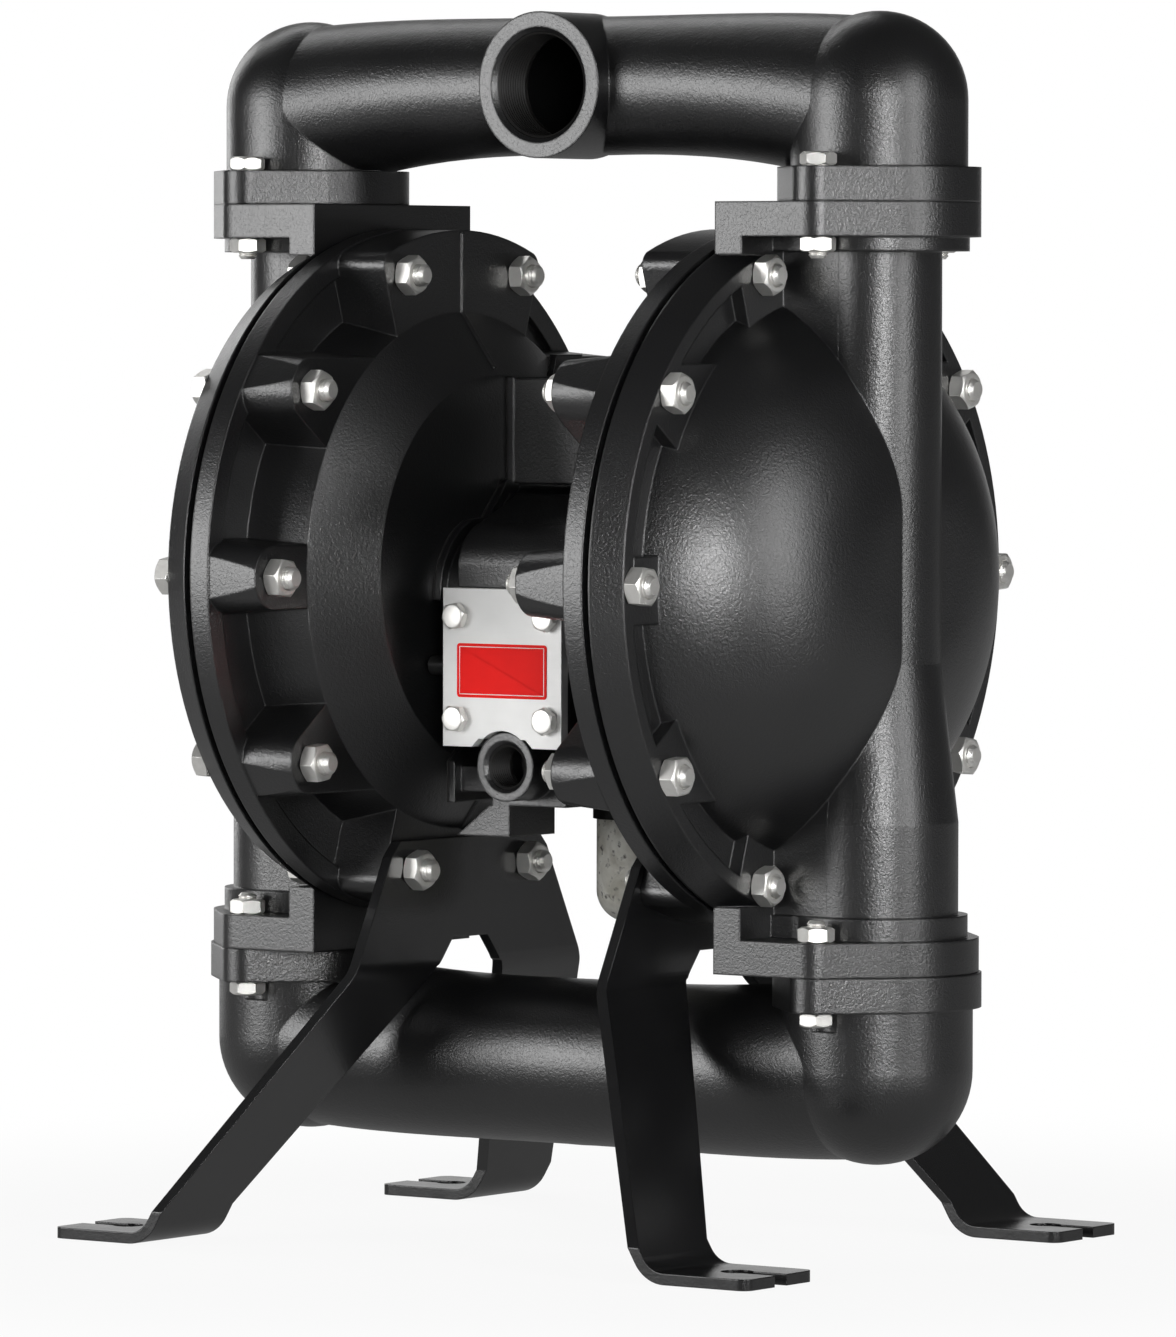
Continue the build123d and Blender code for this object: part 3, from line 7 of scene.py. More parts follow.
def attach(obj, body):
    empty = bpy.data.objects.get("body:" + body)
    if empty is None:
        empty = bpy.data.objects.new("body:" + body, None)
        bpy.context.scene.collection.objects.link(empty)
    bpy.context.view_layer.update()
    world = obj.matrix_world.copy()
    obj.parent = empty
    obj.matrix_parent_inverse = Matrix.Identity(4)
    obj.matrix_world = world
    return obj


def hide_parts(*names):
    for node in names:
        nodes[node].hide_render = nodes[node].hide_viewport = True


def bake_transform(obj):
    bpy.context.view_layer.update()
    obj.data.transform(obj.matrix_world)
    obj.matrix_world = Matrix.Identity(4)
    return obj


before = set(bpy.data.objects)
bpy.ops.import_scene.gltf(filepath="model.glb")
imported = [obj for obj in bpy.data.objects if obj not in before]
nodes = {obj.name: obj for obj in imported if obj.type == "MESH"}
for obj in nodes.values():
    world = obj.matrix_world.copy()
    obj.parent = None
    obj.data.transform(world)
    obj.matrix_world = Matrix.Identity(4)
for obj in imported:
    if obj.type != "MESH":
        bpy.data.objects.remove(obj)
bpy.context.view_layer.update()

AXIS_Z = 0.360  # height of the connecting rod's axis, in metres

# Camera: a long lens off the front right corner of the pump, a little above its middle and
# looking very slightly down. It stands some five metres away, so upright lines stay upright.
CAMERA_PLACE = (2.851, -4.024, 0.50825)
LENS_LENGTH = 245.26  # mm
SENSOR_WIDTH = 36  # mm
scene = bpy.context.scene
turn_left = radians(35.32)
look_down = radians(-2.32)
roll = radians(-0.10)
bpy.ops.object.camera_add(location=CAMERA_PLACE)
camera = bpy.context.object
level_ahead = Vector((-sin(turn_left), cos(turn_left), 0))
ahead = level_ahead * cos(look_down) + Vector((0, 0, sin(look_down)))
above = Vector((0, 0, cos(look_down))) - level_ahead * sin(look_down)
right = Vector((cos(turn_left), sin(turn_left), 0))
right, above = right * cos(roll) - above * sin(roll), right * sin(roll) + above * cos(roll)
camera_axes = Matrix((right, above, -ahead)).transposed().to_4x4()
camera.matrix_world = Matrix.Translation(camera.location) @ camera_axes
camera.data.lens = LENS_LENGTH
camera.data.sensor_width = SENSOR_WIDTH
scene.camera = camera
scene.view_settings.view_transform = "Standard"


# Finishes are written as sums and products of wires between shader nodes. The numbers name
# sockets of the Light Path, Texture Coordinate and Mix nodes.
IS_CAMERA, IS_GLOSSY, IS_TRANSMISSION = 0, 3, 6
GENERATED, OBJECT = 0, 3
FACTOR, COLOUR_A, COLOUR_B, COLOUR_OUT = 0, 6, 7, 2


class Wire:
    """One output socket. Arithmetic on wires adds Math nodes, and node() adds any other kind."""

    def __init__(self, tree, socket=None):
        self.tree = tree
        self.socket = socket

    def node(self, kind, settings=None, sockets=None, out=0):
        made = self.tree.nodes.new("ShaderNode" + kind)
        for name, value in (settings or {}).items():
            if name == "stops":
                ramp = made.color_ramp.elements
                while len(ramp) < len(value):
                    ramp.new(0.5)
                for stop, (place, tone) in zip(ramp, value):
                    stop.position = place
                    stop.color = (*tone, 1) if isinstance(tone, tuple) else (tone, tone, tone, 1)
            else:
                setattr(made, name, value)
        for name, value in (sockets or {}).items():
            if isinstance(value, Wire):
                self.tree.links.new(value.socket, made.inputs[name])
            else:
                made.inputs[name].default_value = value
        return Wire(self.tree, made.outputs[out] if len(made.outputs) else None)

    def maths(self, operation, first, second):
        return self.node("Math", {"operation": operation}, {0: first, 1: second})

    def __add__(self, other):
        return self.maths("ADD", self, other)

    def __radd__(self, other):
        return self.maths("ADD", other, self)

    def __sub__(self, other):
        return self.maths("SUBTRACT", self, other)

    def __rsub__(self, other):
        return self.maths("SUBTRACT", other, self)

    def __mul__(self, other):
        return self.maths("MULTIPLY", self, other)

    def __rmul__(self, other):
        return self.maths("MULTIPLY", other, self)


def new_finish(name):
    """An empty material and its tree, ready for wires."""
    finish = bpy.data.materials.new(name)
    finish.use_nodes = True
    finish.node_tree.nodes.clear()
    return finish, Wire(finish.node_tree)


def speckle(wire, size, detail=2.0, distortion=0.0):
    """Noise with features of about that size in metres, read on Object coordinates."""
    place = wire.node("TexCoord", out=OBJECT)
    return wire.node("TexNoise", {}, {
        "Vector": place, "Scale": 1 / size, "Detail": detail, "Distortion": distortion,
    })


def shade(wire, finish, sockets):
    """Closes a material with one Principled shader."""
    surface = wire.node("BsdfPrincipled", {}, sockets)
    wire.node("OutputMaterial", {}, {"Surface": surface})
    return finish


def mix_colours(wire, amount, first, second):
    """A colour between two, by amount."""
    return wire.node("Mix", {"data_type": "RGBA"}, {
        FACTOR: amount, COLOUR_A: (*first, 1), COLOUR_B: (*second, 1),
    }, out=COLOUR_OUT)


def wear(finish, *names):
    """Puts a finish on CAD nodes of those names."""
    for name in names:
        nodes[name].material_slots[0].material = finish


# Floor: a wide sheet that keeps the pump's shadow. Away from the pump it glows white for the
# camera, and more dimly for polished surfaces, so that their undersides stay dark.
FLOOR_RADIUS = 9
FLOOR_DROP = 0.0005  # the sheet lies just under the feet
GLOSSY_LOSS = 0.7


def seen(wire):
    """1 for rays from the camera and for those that polished or clear surfaces send on."""
    rays = wire.node("LightPath", out=IS_CAMERA) + wire.node("LightPath", out=IS_GLOSSY)
    rays = rays + wire.node("LightPath", out=IS_TRANSMISSION)
    return wire.node("Math", {"operation": "MINIMUM"}, {0: rays, 1: 1.0})


floor_finish, wire = new_finish("studio_floor")
from_middle = wire.node("VectorMath", {"operation": "LENGTH"}, {
    0: wire.node("TexCoord", out=OBJECT),
}, out=1)
away = wire.node("MapRange", {"interpolation_type": "SMOOTHSTEP"}, {
    "Value": from_middle, "From Min": 0.30, "From Max": 0.85, "To Min": 0.92, "To Max": 1.0,
})
matt = wire.node("BsdfDiffuse", {}, {"Color": (0.86, 0.86, 0.86, 1)})
glow = 1.0 - wire.node("LightPath", out=IS_GLOSSY) * GLOSSY_LOSS
lit = wire.node("Emission", {}, {"Color": (1, 1, 1, 1), "Strength": glow})
both = wire.node("MixShader", {}, {0: seen(wire) * away, 1: matt, 2: lit})
wire.node("OutputMaterial", {}, {"Surface": both})
bpy.ops.object.select_all(action="DESELECT")
bpy.ops.mesh.primitive_circle_add(
    vertices=64, radius=FLOOR_RADIUS, fill_type="NGON", location=(0, 0, -FLOOR_DROP),
)
floor = bpy.context.object
floor.name = "studio_floor"
floor.data.materials.append(floor_finish)

# Room: plain white to the camera. Polished surfaces see it bright only nearly straight behind the
# pump, and everything else gets little light from it, so that the dark castings stay dark.
ROOM_LEVEL = 0.06
BACKDROP_LOW = 0.03
BACKDROP_HIGH = 0.75
room = bpy.data.worlds.new("studio_room")
scene.world = room
room.use_nodes = True
room.node_tree.nodes.clear()
wire = Wire(room.node_tree)
to_camera = wire.node("LightPath", out=IS_CAMERA)
to_mirror = seen(wire) - to_camera
behind = wire.node("VectorMath", {"operation": "DOT_PRODUCT"}, {
    0: wire.node("TexCoord", out=GENERATED), 1: tuple(ahead),
}, out=1)
backdrop = wire.node("MapRange", {"interpolation_type": "SMOOTHSTEP"}, {
    "Value": behind, "From Min": 0.88, "From Max": 1.0,
    "To Min": BACKDROP_LOW, "To Max": BACKDROP_HIGH,
})
strength = ROOM_LEVEL + to_camera * (1 - ROOM_LEVEL) + to_mirror * (backdrop - BACKDROP_LOW)
background = wire.node("Background", {}, {"Color": (1, 1, 1, 1), "Strength": strength})
wire.node("OutputWorld", {}, {"Surface": background})

# Lamps: a card on the front left that draws the pale band along the pipes and rims, an upright box
# on the right, a narrow beam for the right dome's sheen, and two strips at the back.
MIDDLE = (0, 0, AXIS_Z)
RIGHT_DOME = (0.17, -0.13, 0.375)
WIDE, NARROW = 180, 26  # degrees
for name, place, aim, width, height, power, beam in (
    ("left_card", (-1.68, -2.34, 0.58), MIDDLE, 1.7, 1.35, 44, WIDE),
    ("right_box", (2.50, -0.42, 0.75), MIDDLE, 0.7, 2.0, 24, WIDE),
    ("dome_box", (1.72, -1.72, 0.60), RIGHT_DOME, 0.85, 0.8, 1.2, NARROW),
    ("back_left_top", (-1.45, 0.90, 2.20), MIDDLE, 1.6, 0.35, 6, WIDE),
    ("back_left_strip", (-2.2, 0.9, 0.9), MIDDLE, 0.5, 1.8, 10, WIDE),
):
    bpy.ops.object.light_add(type="AREA", location=place)
    lamp = bpy.context.object
    lamp.name = name
    lamp.data.shape = "RECTANGLE"
    lamp.data.size = width
    lamp.data.size_y = height
    lamp.data.energy = power
    lamp.data.spread = radians(beam)
    lamp.rotation_euler = (Vector(aim) - Vector(place)).to_track_quat("-Z", "Y").to_euler()


# Fluid caps, air caps, centre body and manifolds: sand castings under black powder coat. The
# skin keeps a leathery grain, and every edge is rounded where the mould was.
def cast_paint(name, grain_height, gloss):
    finish, wire = new_finish(name)
    grain = speckle(wire, 0.0016, 2.0, 0.8)
    pebble = speckle(wire, 0.0006, 2.0)
    cloud = speckle(wire, 0.05, 4.0)
    rounded = wire.node("Bevel", {"samples": 6}, {"Radius": 0.0016})
    skin = wire.node("Bump", {}, {
        "Strength": 0.45, "Distance": grain_height, "Height": grain * 0.75 + pebble * 0.25,
        "Normal": rounded,
    })
    return shade(wire, finish, {
        "Base Color": mix_colours(wire, cloud, (0.004, 0.004, 0.0044), (0.009, 0.009, 0.0095)),
        "Roughness": gloss + cloud * 0.08 + pebble * 0.05,
        "Specular IOR Level": 1.0,
        "Normal": skin,
    })


cast_black = cast_paint("cast_black_paint", 0.0006, 0.25)
wear(
    cast_black, "right_fluid_cap", "left_fluid_cap", "right_air_cap", "left_air_cap",
    "center_body", "outlet_manifold", "inlet_manifold",
)


# Diaphragms, gaskets and sealing rings: moulded black rubber, matt, showing only as a dark line
# between the caps and round the centre body's ends.
rubber_finish, wire = new_finish("moulded_rubber")
dust = speckle(wire, 0.004, 3.0)
rubber = shade(wire, rubber_finish, {
    "Base Color": mix_colours(wire, dust, (0.012, 0.012, 0.012), (0.022, 0.021, 0.020)),
    "Roughness": 0.62 + dust * 0.15,
    "Normal": wire.node("Bump", {}, {"Strength": 0.3, "Distance": 0.0003, "Height": dust}),
})
wear(
    rubber, "right_diaphragm", "left_diaphragm", "right_body_gasket", "left_body_gasket",
    "seat_rings", "valve_cover_gasket",
)


# The two diaphragms: each is copied into a rubber mesh of its own, set in world place, and its CAD node is
# hidden.
for side, sign in (("right", 1), ("left", -1)):
    node = nodes[side + "_diaphragm"]
    membrane_mesh = node.data.copy()
    membrane_mesh.transform(node.matrix_world)
    membrane = bpy.data.objects.new(side + "_diaphragm_rubber", membrane_mesh)
    scene.collection.objects.link(membrane)
    membrane.data.materials.clear()
    membrane.data.materials.append(rubber)
    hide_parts(side + "_diaphragm")
    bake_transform(membrane)


# Leg brackets: plate bent to shape, painted in a smooth and glossier black than the castings.
plate_finish, wire = new_finish("bracket_black_paint")
ripple = speckle(wire, 0.012, 3.0)
orange_peel = speckle(wire, 0.0016, 2.0)
rounded = wire.node("Bevel", {"samples": 6}, {"Radius": 0.0009})
bracket_black = shade(wire, plate_finish, {
    "Base Color": (0.009, 0.009, 0.0095, 1),
    "Roughness": 0.18 + ripple * 0.10,
    "Specular IOR Level": 0.8,
    "Normal": wire.node("Bump", {}, {
        "Strength": 0.35, "Distance": 0.0003, "Height": orange_peel * 0.5 + ripple * 0.5,
        "Normal": rounded,
    }),
})
wear(bracket_black, "right_leg_bracket", "left_leg_bracket")


# Inner works: ground steel rod, pilot rod, seats and screws, aluminium washers and valve parts,
# bronze bushes and off-white polymer balls. None of them shows from outside.
def plain_metal(name, colour, polish):
    finish, wire = new_finish(name)
    smear = speckle(wire, 0.006, 3.0)
    return shade(wire, finish, {
        "Base Color": (*colour, 1), "Metallic": 1.0, "Roughness": polish + smear * 0.12,
        "Normal": wire.node("Bump", {}, {"Strength": 0.2, "Distance": 0.0001, "Height": smear}),
    })


ground_steel = plain_metal("ground_steel", (0.62, 0.62, 0.62), 0.16)
turned_aluminium = plain_metal("turned_aluminium", (0.72, 0.72, 0.72), 0.28)
bearing_bronze = plain_metal("bearing_bronze", (0.55, 0.38, 0.18), 0.34)
for finish, group in (
    (ground_steel, (
        "connecting_rod", "pilot_rod", "right_diaphragm_screw", "left_diaphragm_screw", "right_outlet_seat",
        "left_outlet_seat", "right_inlet_seat", "left_inlet_seat", "right_body_screws", "left_body_screws",
    )),
    (turned_aluminium, (
        "valve_spool", "valve_sleeve", "button_bushing", "right_spool_cap", "left_spool_cap",
        "right_inner_diaphragm_washer", "left_inner_diaphragm_washer", "right_outer_diaphragm_washer",
        "left_outer_diaphragm_washer",
    )),
    (bearing_bronze, ("right_rod_bush", "left_rod_bush", "right_pilot_bush", "left_pilot_bush")),
):
    wear(finish, *group)
ball_finish, wire = new_finish("ball_polymer")
haze = speckle(wire, 0.01, 3.0)
ball_polymer = shade(wire, ball_finish, {
    "Base Color": mix_colours(wire, haze, (0.74, 0.72, 0.65), (0.82, 0.80, 0.74)),
    "Roughness": 0.3 + haze * 0.1,
})
wear(ball_polymer, "right_outlet_ball", "left_outlet_ball", "right_inlet_ball", "left_inlet_ball")

# Valve cover: satin stainless plate with a faint grain across it, held by four hexagon bolts.
cover_finish, wire = new_finish("satin_stainless")
place = wire.node("TexCoord", out=OBJECT)
stretched = wire.node("Mapping", {}, {"Vector": place, "Scale": (40, 40, 1600)})
rolled = wire.node("TexNoise", {}, {"Vector": stretched, "Scale": 1.0, "Detail": 3.0})
blotch = speckle(wire, 0.02, 3.0)
rounded = wire.node("Bevel", {"samples": 6}, {"Radius": 0.0006})
satin_stainless = shade(wire, cover_finish, {
    "Base Color": mix_colours(wire, blotch, (0.80, 0.80, 0.79), (0.90, 0.90, 0.89)), "Metallic": 0.75,
    "Roughness": 0.62 + rolled * 0.12,
    "Normal": wire.node("Bump", {}, {
        "Strength": 0.12, "Distance": 0.0002, "Height": rolled, "Normal": rounded,
    }),
})
wear(satin_stainless, "valve_cover")


# Cover bolts: M8 hexagon bolts in bright zinc, turned and then planed to six flats, their heads
# chamfered to a round face. Each head comes to rest at a turn of its own.
SMOOTH_BELOW = 32  # degrees between faces that are shaded as one


def turn_up(name, sides, outline, through=False):
    """Solid of revolution on +Z: a disc drawn up through (height, radius) steps. With through, the
    last ring meets the first and the two discs between them are taken out."""
    bpy.ops.object.select_all(action="DESELECT")
    (height, radius), *steps = outline
    bpy.ops.mesh.primitive_circle_add(
        vertices=sides, radius=radius, fill_type="NGON", location=(0, 0, height),
    )
    piece = bpy.context.object
    piece.name = name
    bpy.ops.object.transform_apply(location=True, rotation=True, scale=True)
    bpy.ops.object.mode_set(mode="EDIT")
    bpy.ops.mesh.select_all(action="SELECT")
    for next_height, next_radius in steps:
        bpy.ops.mesh.extrude_region_move(TRANSFORM_OT_translate={"value": (0, 0, next_height - height)})
        growth = next_radius / radius
        bpy.ops.transform.resize(value=(growth, growth, 1), center_override=(0, 0, next_height))
        height, radius = next_height, next_radius
    if through:
        bpy.ops.mesh.select_all(action="DESELECT")
        bpy.ops.mesh.select_face_by_sides(number=sides)
        bpy.ops.mesh.delete(type="ONLY_FACE")
        bpy.ops.mesh.select_all(action="SELECT")
        bpy.ops.mesh.remove_doubles(threshold=0.000002)
    bpy.ops.mesh.select_all(action="SELECT")
    bpy.ops.mesh.normals_make_consistent(inside=False)
    bpy.ops.object.mode_set(mode="OBJECT")
    return piece


def cut_hexagon(piece, across_flats):
    """Six flats planed along a turned piece; what lies inside them is left as it is."""
    bpy.ops.object.mode_set(mode="EDIT")
    for side in range(6):
        slope = side * pi / 3
        bpy.ops.mesh.select_all(action="SELECT")
        outward = (cos(slope), sin(slope), 0)
        bpy.ops.mesh.bisect(
            plane_co=Vector(outward) * across_flats / 2, plane_no=outward, use_fill=True, clear_outer=True,
        )
    bpy.ops.object.mode_set(mode="OBJECT")


def set_in_place(name, pattern, places, finish, body, replaced):
    """A group of like pieces: the pattern is copied to each place, the copies are joined, and the
    group stands for the CAD node of the same pieces."""
    copies = []
    for place in places:
        copy = pattern.copy()
        copy.data = pattern.data.copy()
        copy.data.transform(place)
        scene.collection.objects.link(copy)
        copies.append(copy)
    bpy.ops.object.select_all(action="DESELECT")
    for copy in copies:
        copy.select_set(True)
    bpy.context.view_layer.objects.active = copies[0]
    if len(copies) > 1:
        bpy.ops.object.join()
    group = bpy.context.view_layer.objects.active
    group.name = name
    group.data.materials.clear()
    group.data.materials.append(finish)
    bpy.ops.object.shade_smooth_by_angle(angle=radians(SMOOTH_BELOW))
    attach(group, body)
    if replaced:
        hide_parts(*replaced)


zinc_finish, wire = new_finish("bright_zinc")
stain = speckle(wire, 0.003, 3.0)
fine = speckle(wire, 0.0006, 2.0)
rounded = wire.node("Bevel", {"samples": 6}, {"Radius": 0.0004})
bright_zinc = shade(wire, zinc_finish, {
    "Base Color": mix_colours(wire, stain, (0.80, 0.79, 0.76), (0.92, 0.91, 0.88)), "Metallic": 0.85,
    "Roughness": 0.34 + stain * 0.16,
    "Normal": wire.node("Bump", {}, {
        "Strength": 0.25, "Distance": 0.0001, "Height": fine, "Normal": rounded,
    }),
})


def upright(direction, place, spin=0.0):
    """Places a piece made on +Z so that it points along direction from place."""
    lean = Vector((0, 0, 1)).rotation_difference(Vector(direction)).to_matrix().to_4x4()
    return Matrix.Translation(place) @ lean @ Matrix.Rotation(spin, 4, "Z")


COVER_FACE_Y = -0.080
COVER_BOLT_PLACES = [(x, z) for x in (-0.0295, 0.0295) for z in (0.2835, 0.3385)]
M8_ACROSS_FLATS = 0.013
bolt = turn_up("cover_bolt", 36, [
    (-0.0245, 0.0032), (-0.0235, 0.0039), (0.0, 0.0039), (0.0, 0.0063), (0.0004, 0.0063), (0.0004, 0.0068),
    (0.0012, 0.0076), (0.0040, 0.0076), (0.0052, 0.0062), (0.0053, 0.0058),
])
cut_hexagon(bolt, M8_ACROSS_FLATS)
set_in_place(
    "cover_bolts_zinc", bolt,
    [upright((0, -1, 0), (x, COVER_FACE_Y, z), 0.35 + 9 * x + 5 * z) for x, z in COVER_BOLT_PLACES],
    bright_zinc, "casing", ["valve_cover_bolts"],
)
bpy.data.objects.remove(bolt)

# Side plug, override button and muffler collar: a zinc blanking plug on one side of the valve, the
# moulded black button on the other, and a collar of the same plastic as the button.
button_finish, wire = new_finish("moulded_black_plastic")
haze = speckle(wire, 0.002, 2.0)
moulded_black = shade(wire, button_finish, {
    "Base Color": (0.012, 0.012, 0.012, 1), "Roughness": 0.30 + haze * 0.12,
    "Normal": wire.node("Bump", {}, {"Strength": 0.2, "Distance": 0.0002, "Height": haze}),
})
wear(bright_zinc, "side_plug")
wear(moulded_black, "override_button", "muffler_collar")

# Label: a plain red sticker on the valve cover, without words, with rounded corners and a fine pale
# line inside its edge.
LABEL_LOW = Vector((-0.0295, 0.2950))
LABEL_HIGH = Vector((0.0295, 0.3240))
LABEL_CORNER = 0.0018
LABEL_MARGIN = 0.0016
LABEL_LINE = 0.0004
LABEL_THICKNESS = 0.0003
LABEL_GAP = 0.00005  # how far its back starts off the cover's face
LINE_NEAR, LINE_FAR = 0.0015, 0.0022  # faces this far from the edge are the pale line
red_finish, wire = new_finish("label_red")
fade = speckle(wire, 0.01, 2.0)
label_red = shade(wire, red_finish, {
    "Base Color": mix_colours(wire, fade, (0.88, 0.012, 0.010), (0.94, 0.016, 0.013)),
    "Roughness": 0.60 + fade * 0.08, "Specular IOR Level": 0.15,
})
white_finish, wire = new_finish("label_white")
fade = speckle(wire, 0.01, 2.0)
label_white = shade(wire, white_finish, {
    "Base Color": (0.82, 0.82, 0.80, 1), "Roughness": 0.36 + fade * 0.08,
})
bpy.ops.object.select_all(action="DESELECT")
bpy.ops.mesh.primitive_plane_add(size=1, location=(0, 0, 0))
label = bpy.context.object
label.name = "red_label"
middle = (LABEL_LOW + LABEL_HIGH) / 2
label.data.materials.append(label_red)
label.data.materials.append(label_white)
bpy.ops.object.mode_set(mode="EDIT")
bpy.ops.mesh.select_all(action="SELECT")
bpy.ops.transform.resize(value=(LABEL_HIGH.x - LABEL_LOW.x, LABEL_HIGH.y - LABEL_LOW.y, 1))
bpy.ops.mesh.bevel(offset=LABEL_CORNER, segments=5, affect="VERTICES")
bpy.ops.mesh.select_all(action="SELECT")
bpy.ops.mesh.inset(thickness=LABEL_MARGIN)
bpy.ops.mesh.inset(thickness=LABEL_LINE)
bpy.ops.object.mode_set(mode="OBJECT")
for face in label.data.polygons:
    edge_gap = min(
        (LABEL_HIGH.x - LABEL_LOW.x) / 2 - abs(face.center.x),
        (LABEL_HIGH.y - LABEL_LOW.y) / 2 - abs(face.center.y),
    )
    face.material_index = 1 if LINE_NEAR < edge_gap < LINE_FAR else 0
bpy.ops.object.mode_set(mode="EDIT")
bpy.ops.mesh.select_all(action="SELECT")
bpy.ops.mesh.extrude_region_move(TRANSFORM_OT_translate={"value": (0, 0, LABEL_THICKNESS)})
bpy.ops.mesh.select_all(action="SELECT")
bpy.ops.mesh.normals_make_consistent(inside=False)
bpy.ops.object.mode_set(mode="OBJECT")
label.data.transform(upright((0, -1, 0), (middle.x, COVER_FACE_Y - LABEL_GAP, middle.y)))
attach(label, "casing")


# Chamber studs and nuts: M12 studs through both flanges of a chamber, a hexagon nut on each end.
# The two lowest studs are longer, by the plate of the leg bracket that they hold.
STUD_CIRCLE = 0.1695
STUD_COUNT = 10
FIRST_STUD = 108  # degrees from +Y
STUD_STEP = 36
LOWEST_STUDS = (4, 5)
M12_ACROSS_FLATS = 0.019
OUTER_NUT_X = 0.149
INNER_NUT_X = 0.085
LOW_INNER_NUT_X = 0.079
STUD_END_X = 0.070
LOW_STUD_END_X = 0.064


def stud_ring(x, outward, low_x=None):
    """Places of one end of the ten studs; the two lowest may have their own x."""
    places = []
    for number in range(STUD_COUNT):
        slope = radians(FIRST_STUD + STUD_STEP * number)
        here = low_x if low_x is not None and number in LOWEST_STUDS else x
        spot = (here, STUD_CIRCLE * cos(slope), AXIS_Z + STUD_CIRCLE * sin(slope))
        places.append(upright((outward, 0, 0), spot, 0.4 + number * 1.3))
    return places


def thread(low, high, core, crest, pitch):
    """Outline steps of a screw thread between two heights."""
    steps = []
    height = low
    while height + pitch < high:
        steps += [
            (height + pitch * 0.4, crest), (height + pitch * 0.6, crest), (height + pitch, core),
        ]
        height += pitch
    return steps


nut = turn_up("chamber_nut", 48, [
    (0.0006, 0.00602), (0.0, 0.0066), (0.0, 0.0090), (0.0012, 0.0111), (0.0080, 0.0111), (0.0095, 0.0089),
    (0.0095, 0.0067), (0.0088, 0.00602), (0.0006, 0.00602),
], through=True)
cut_hexagon(nut, M12_ACROSS_FLATS)
for side, sign in (("right", 1), ("left", -1)):
    set_in_place(
        side + "_outer_nuts_zinc", nut, stud_ring(sign * OUTER_NUT_X, sign),
        bright_zinc, "casing", [side + "_outer_nuts"],
    )
    set_in_place(
        side + "_inner_nuts_zinc", nut, stud_ring(sign * INNER_NUT_X, -sign, sign * LOW_INNER_NUT_X),
        bright_zinc, "casing", [side + "_inner_nuts"],
    )
bpy.data.objects.remove(nut)

M12_THREAD = (0.0052, 0.0060, 0.00175)  # core, crest and pitch
BRACKET_PLATE = 0.006
STUD_HALFWAY = 0.05
stud_outline = [(0.0, 0.0042), (0.0009, 0.0052)] + thread(0.0009, 0.0160, *M12_THREAD)
stud_outline += [(0.017, 0.0058), (0.074, 0.0058)] + thread(0.0745, 0.0913, *M12_THREAD)
stud_outline += [(0.0920, 0.0044)]
stud = turn_up("chamber_stud", 24, stud_outline)
long_stud = turn_up("long_chamber_stud", 24, [
    (height if height < STUD_HALFWAY else height + BRACKET_PLATE, radius)
    for height, radius in stud_outline
])
for side, sign in (("right", 1), ("left", -1)):
    ring = stud_ring(sign * STUD_END_X, sign, sign * LOW_STUD_END_X)
    long_ones = [ring[number] for number in LOWEST_STUDS]
    short_ones = [place for place in ring if place not in long_ones]
    set_in_place(
        side + "_studs_zinc", stud, short_ones, bright_zinc, "casing", [side + "_chamber_studs"],
    )
    set_in_place(side + "_long_studs_zinc", long_stud, long_ones, bright_zinc, "casing", [])
bpy.data.objects.remove(stud)
bpy.data.objects.remove(long_stud)

# Manifold bolts and nuts: M10 hexagon bolts through each pair of port flanges, heads on the
# manifold and nuts on the fluid cap. The outlet's point down and the inlet's point up.
M10_THREAD = (0.0044, 0.0050, 0.0015)
M10_ACROSS_FLATS = 0.017
OUTLET_HEAD_Z = 0.5785
INLET_HEAD_Z = 0.134
HEAD_TO_NUT = 0.037
PORT_PLACES = [(x, y) for x in (0.188, -0.188) for y in (0.058, -0.058)]
bolt = turn_up("manifold_bolt", 40, [
    (-0.0485, 0.0036), (-0.0475, 0.0044)] + thread(-0.0475, -0.0360, *M10_THREAD) + [
    (-0.0355, 0.0049), (0.0, 0.0049), (0.0, 0.0082), (0.0005, 0.0082), (0.0005, 0.0088), (0.0016, 0.0099),
    (0.0058, 0.0099), (0.0073, 0.0081), (0.0075, 0.0076),
])
cut_hexagon(bolt, M10_ACROSS_FLATS)
nut = turn_up("manifold_nut", 40, [
    (0.0005, 0.00502), (0.0, 0.0056), (0.0, 0.0081), (0.0011, 0.0099), (0.0068, 0.0099), (0.0080, 0.0080),
    (0.0080, 0.0057), (0.0074, 0.00502), (0.0005, 0.00502),
], through=True)
cut_hexagon(nut, M10_ACROSS_FLATS)
for name, head_z, up in (("outlet", OUTLET_HEAD_Z, 1), ("inlet", INLET_HEAD_Z, -1)):
    nut_z = head_z - up * HEAD_TO_NUT
    set_in_place(
        name + "_bolts_zinc", bolt,
        [upright((0, 0, up), (x, y, head_z), 0.3 + 7 * x + 11 * y) for x, y in PORT_PLACES],
        bright_zinc, "casing", [name + "_manifold_bolts"],
    )
    set_in_place(
        name + "_nuts_zinc", nut,
        [upright((0, 0, -up), (x, y, nut_z), 0.8 + 5 * x + 9 * y) for x, y in PORT_PLACES],
        bright_zinc, "casing", [name + "_manifold_nuts"],
    )
bpy.data.objects.remove(bolt)
bpy.data.objects.remove(nut)
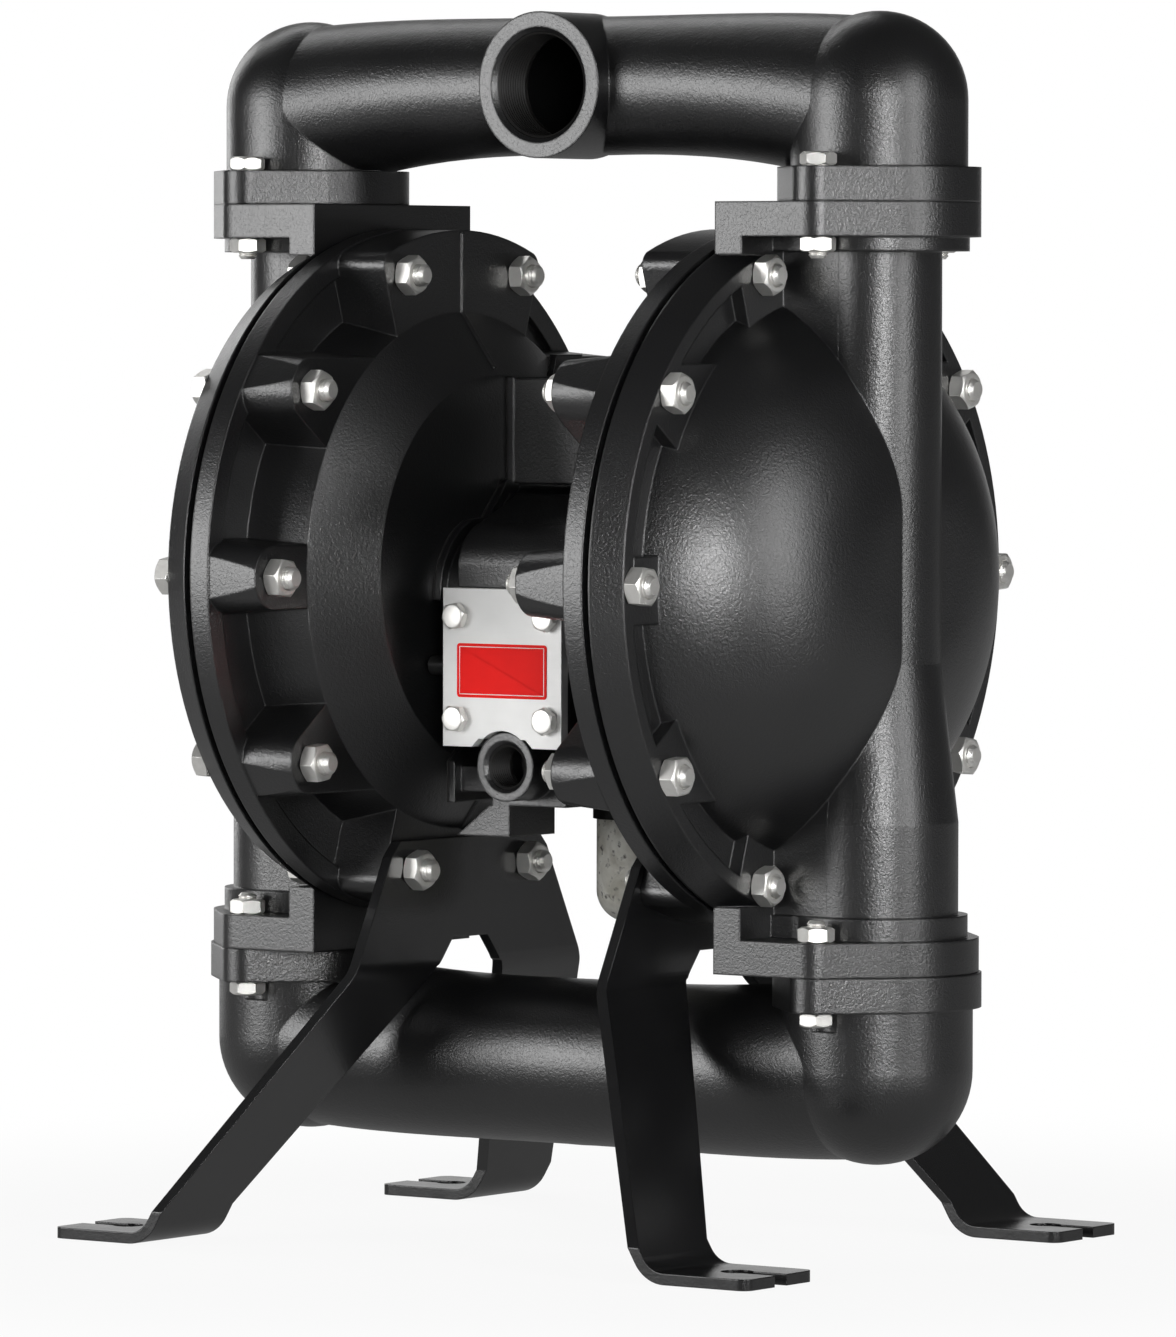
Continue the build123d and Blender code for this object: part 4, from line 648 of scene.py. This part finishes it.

# Threads cut in the outlet, the inlet and the air inlet: bare metal, coloured near black and dull as
# painted shade deep in the bores. Each is a lining of turned rings, and the insets are measured in from its
# bore.
LINING_INSET = 0.00004
ROOT_INSET = 0.0002
END_INSET = 0.0010
CREST_INSET = 0.0013
THREAD_RUNOUT = 0.0005
PIPE_PITCH = 0.00221
AIR_PITCH = 0.00181
thread_finish, wire = new_finish("thread_painted_shade")
mottle = speckle(wire, 0.003, 3.0)
# Near-black base colour: painted shade inside the bores, darker than the bare metal itself.
thread_painted_shade = shade(wire, thread_finish, {
    "Base Color": mix_colours(wire, mottle, (0.006, 0.006, 0.006), (0.014, 0.013, 0.012)),
    "Roughness": 0.46 + mottle * 0.12, "Specular IOR Level": 0.25,
})
for name, radius, depth, pitch, direction, mouth in (
    ("outlet_thread", 0.0286, 0.026, PIPE_PITCH, (0, -1, 0), (0, -0.0449, 0.6233)),
    ("inlet_thread", 0.0286, 0.024, PIPE_PITCH, (0, 1, 0), (0, 0.0544, 0.0947)),
    ("air_inlet_thread", 0.0121, 0.020, AIR_PITCH, (0, -1, 0), (0, -0.0749, 0.258)),
):
    outline = [(-depth, radius - LINING_INSET), (0.0, radius - LINING_INSET)]
    height = 0.0
    while height - pitch > -depth + THREAD_RUNOUT:
        outline += [
            (height - pitch * 0.45, radius - CREST_INSET),
            (height - pitch * 0.55, radius - CREST_INSET),
            (height - pitch, radius - ROOT_INSET),
        ]
        height -= pitch
    outline += [(-depth, radius - END_INSET), (-depth, radius - LINING_INSET)]
    sleeve = turn_up(name, 64, outline, through=True)
    set_in_place(name, sleeve, [upright(direction, mouth)], thread_painted_shade, "casing", [])
    bpy.data.objects.remove(sleeve)

# Muffler: a grey porous cup hung from the exhaust by its black collar.
muffler_finish, wire = new_finish("porous_grey")
cloud = speckle(wire, 0.014, 5.0, 0.6)
pits = speckle(wire, 0.0045, 4.0)
# Where the pits are, the colour turns near black: painted shade inside the pores. The stain between them is
# the cup's own uneven tone.
pore_shade = wire.node("ValToRGB", {"stops": [(0.30, 0.0), (0.42, 1.0)]}, {"Fac": pits})
stain = wire.node("ValToRGB", {
    "stops": [(0.35, (0.60, 0.58, 0.50)), (0.62, (0.92, 0.91, 0.84))],
}, {"Fac": cloud})
pitted = wire.node("Mix", {"data_type": "RGBA"}, {
    FACTOR: pore_shade, COLOUR_A: (0.10, 0.09, 0.07, 1), COLOUR_B: stain,
}, out=COLOUR_OUT)
porous_grey = shade(wire, muffler_finish, {
    "Base Color": pitted, "Roughness": 0.55 + pits * 0.25,
    "Normal": wire.node("Bump", {}, {
        "Strength": 0.6, "Distance": 0.0012, "Height": pits * 0.6 + cloud * 0.4,
    }),
})
wear(porous_grey, "muffler")
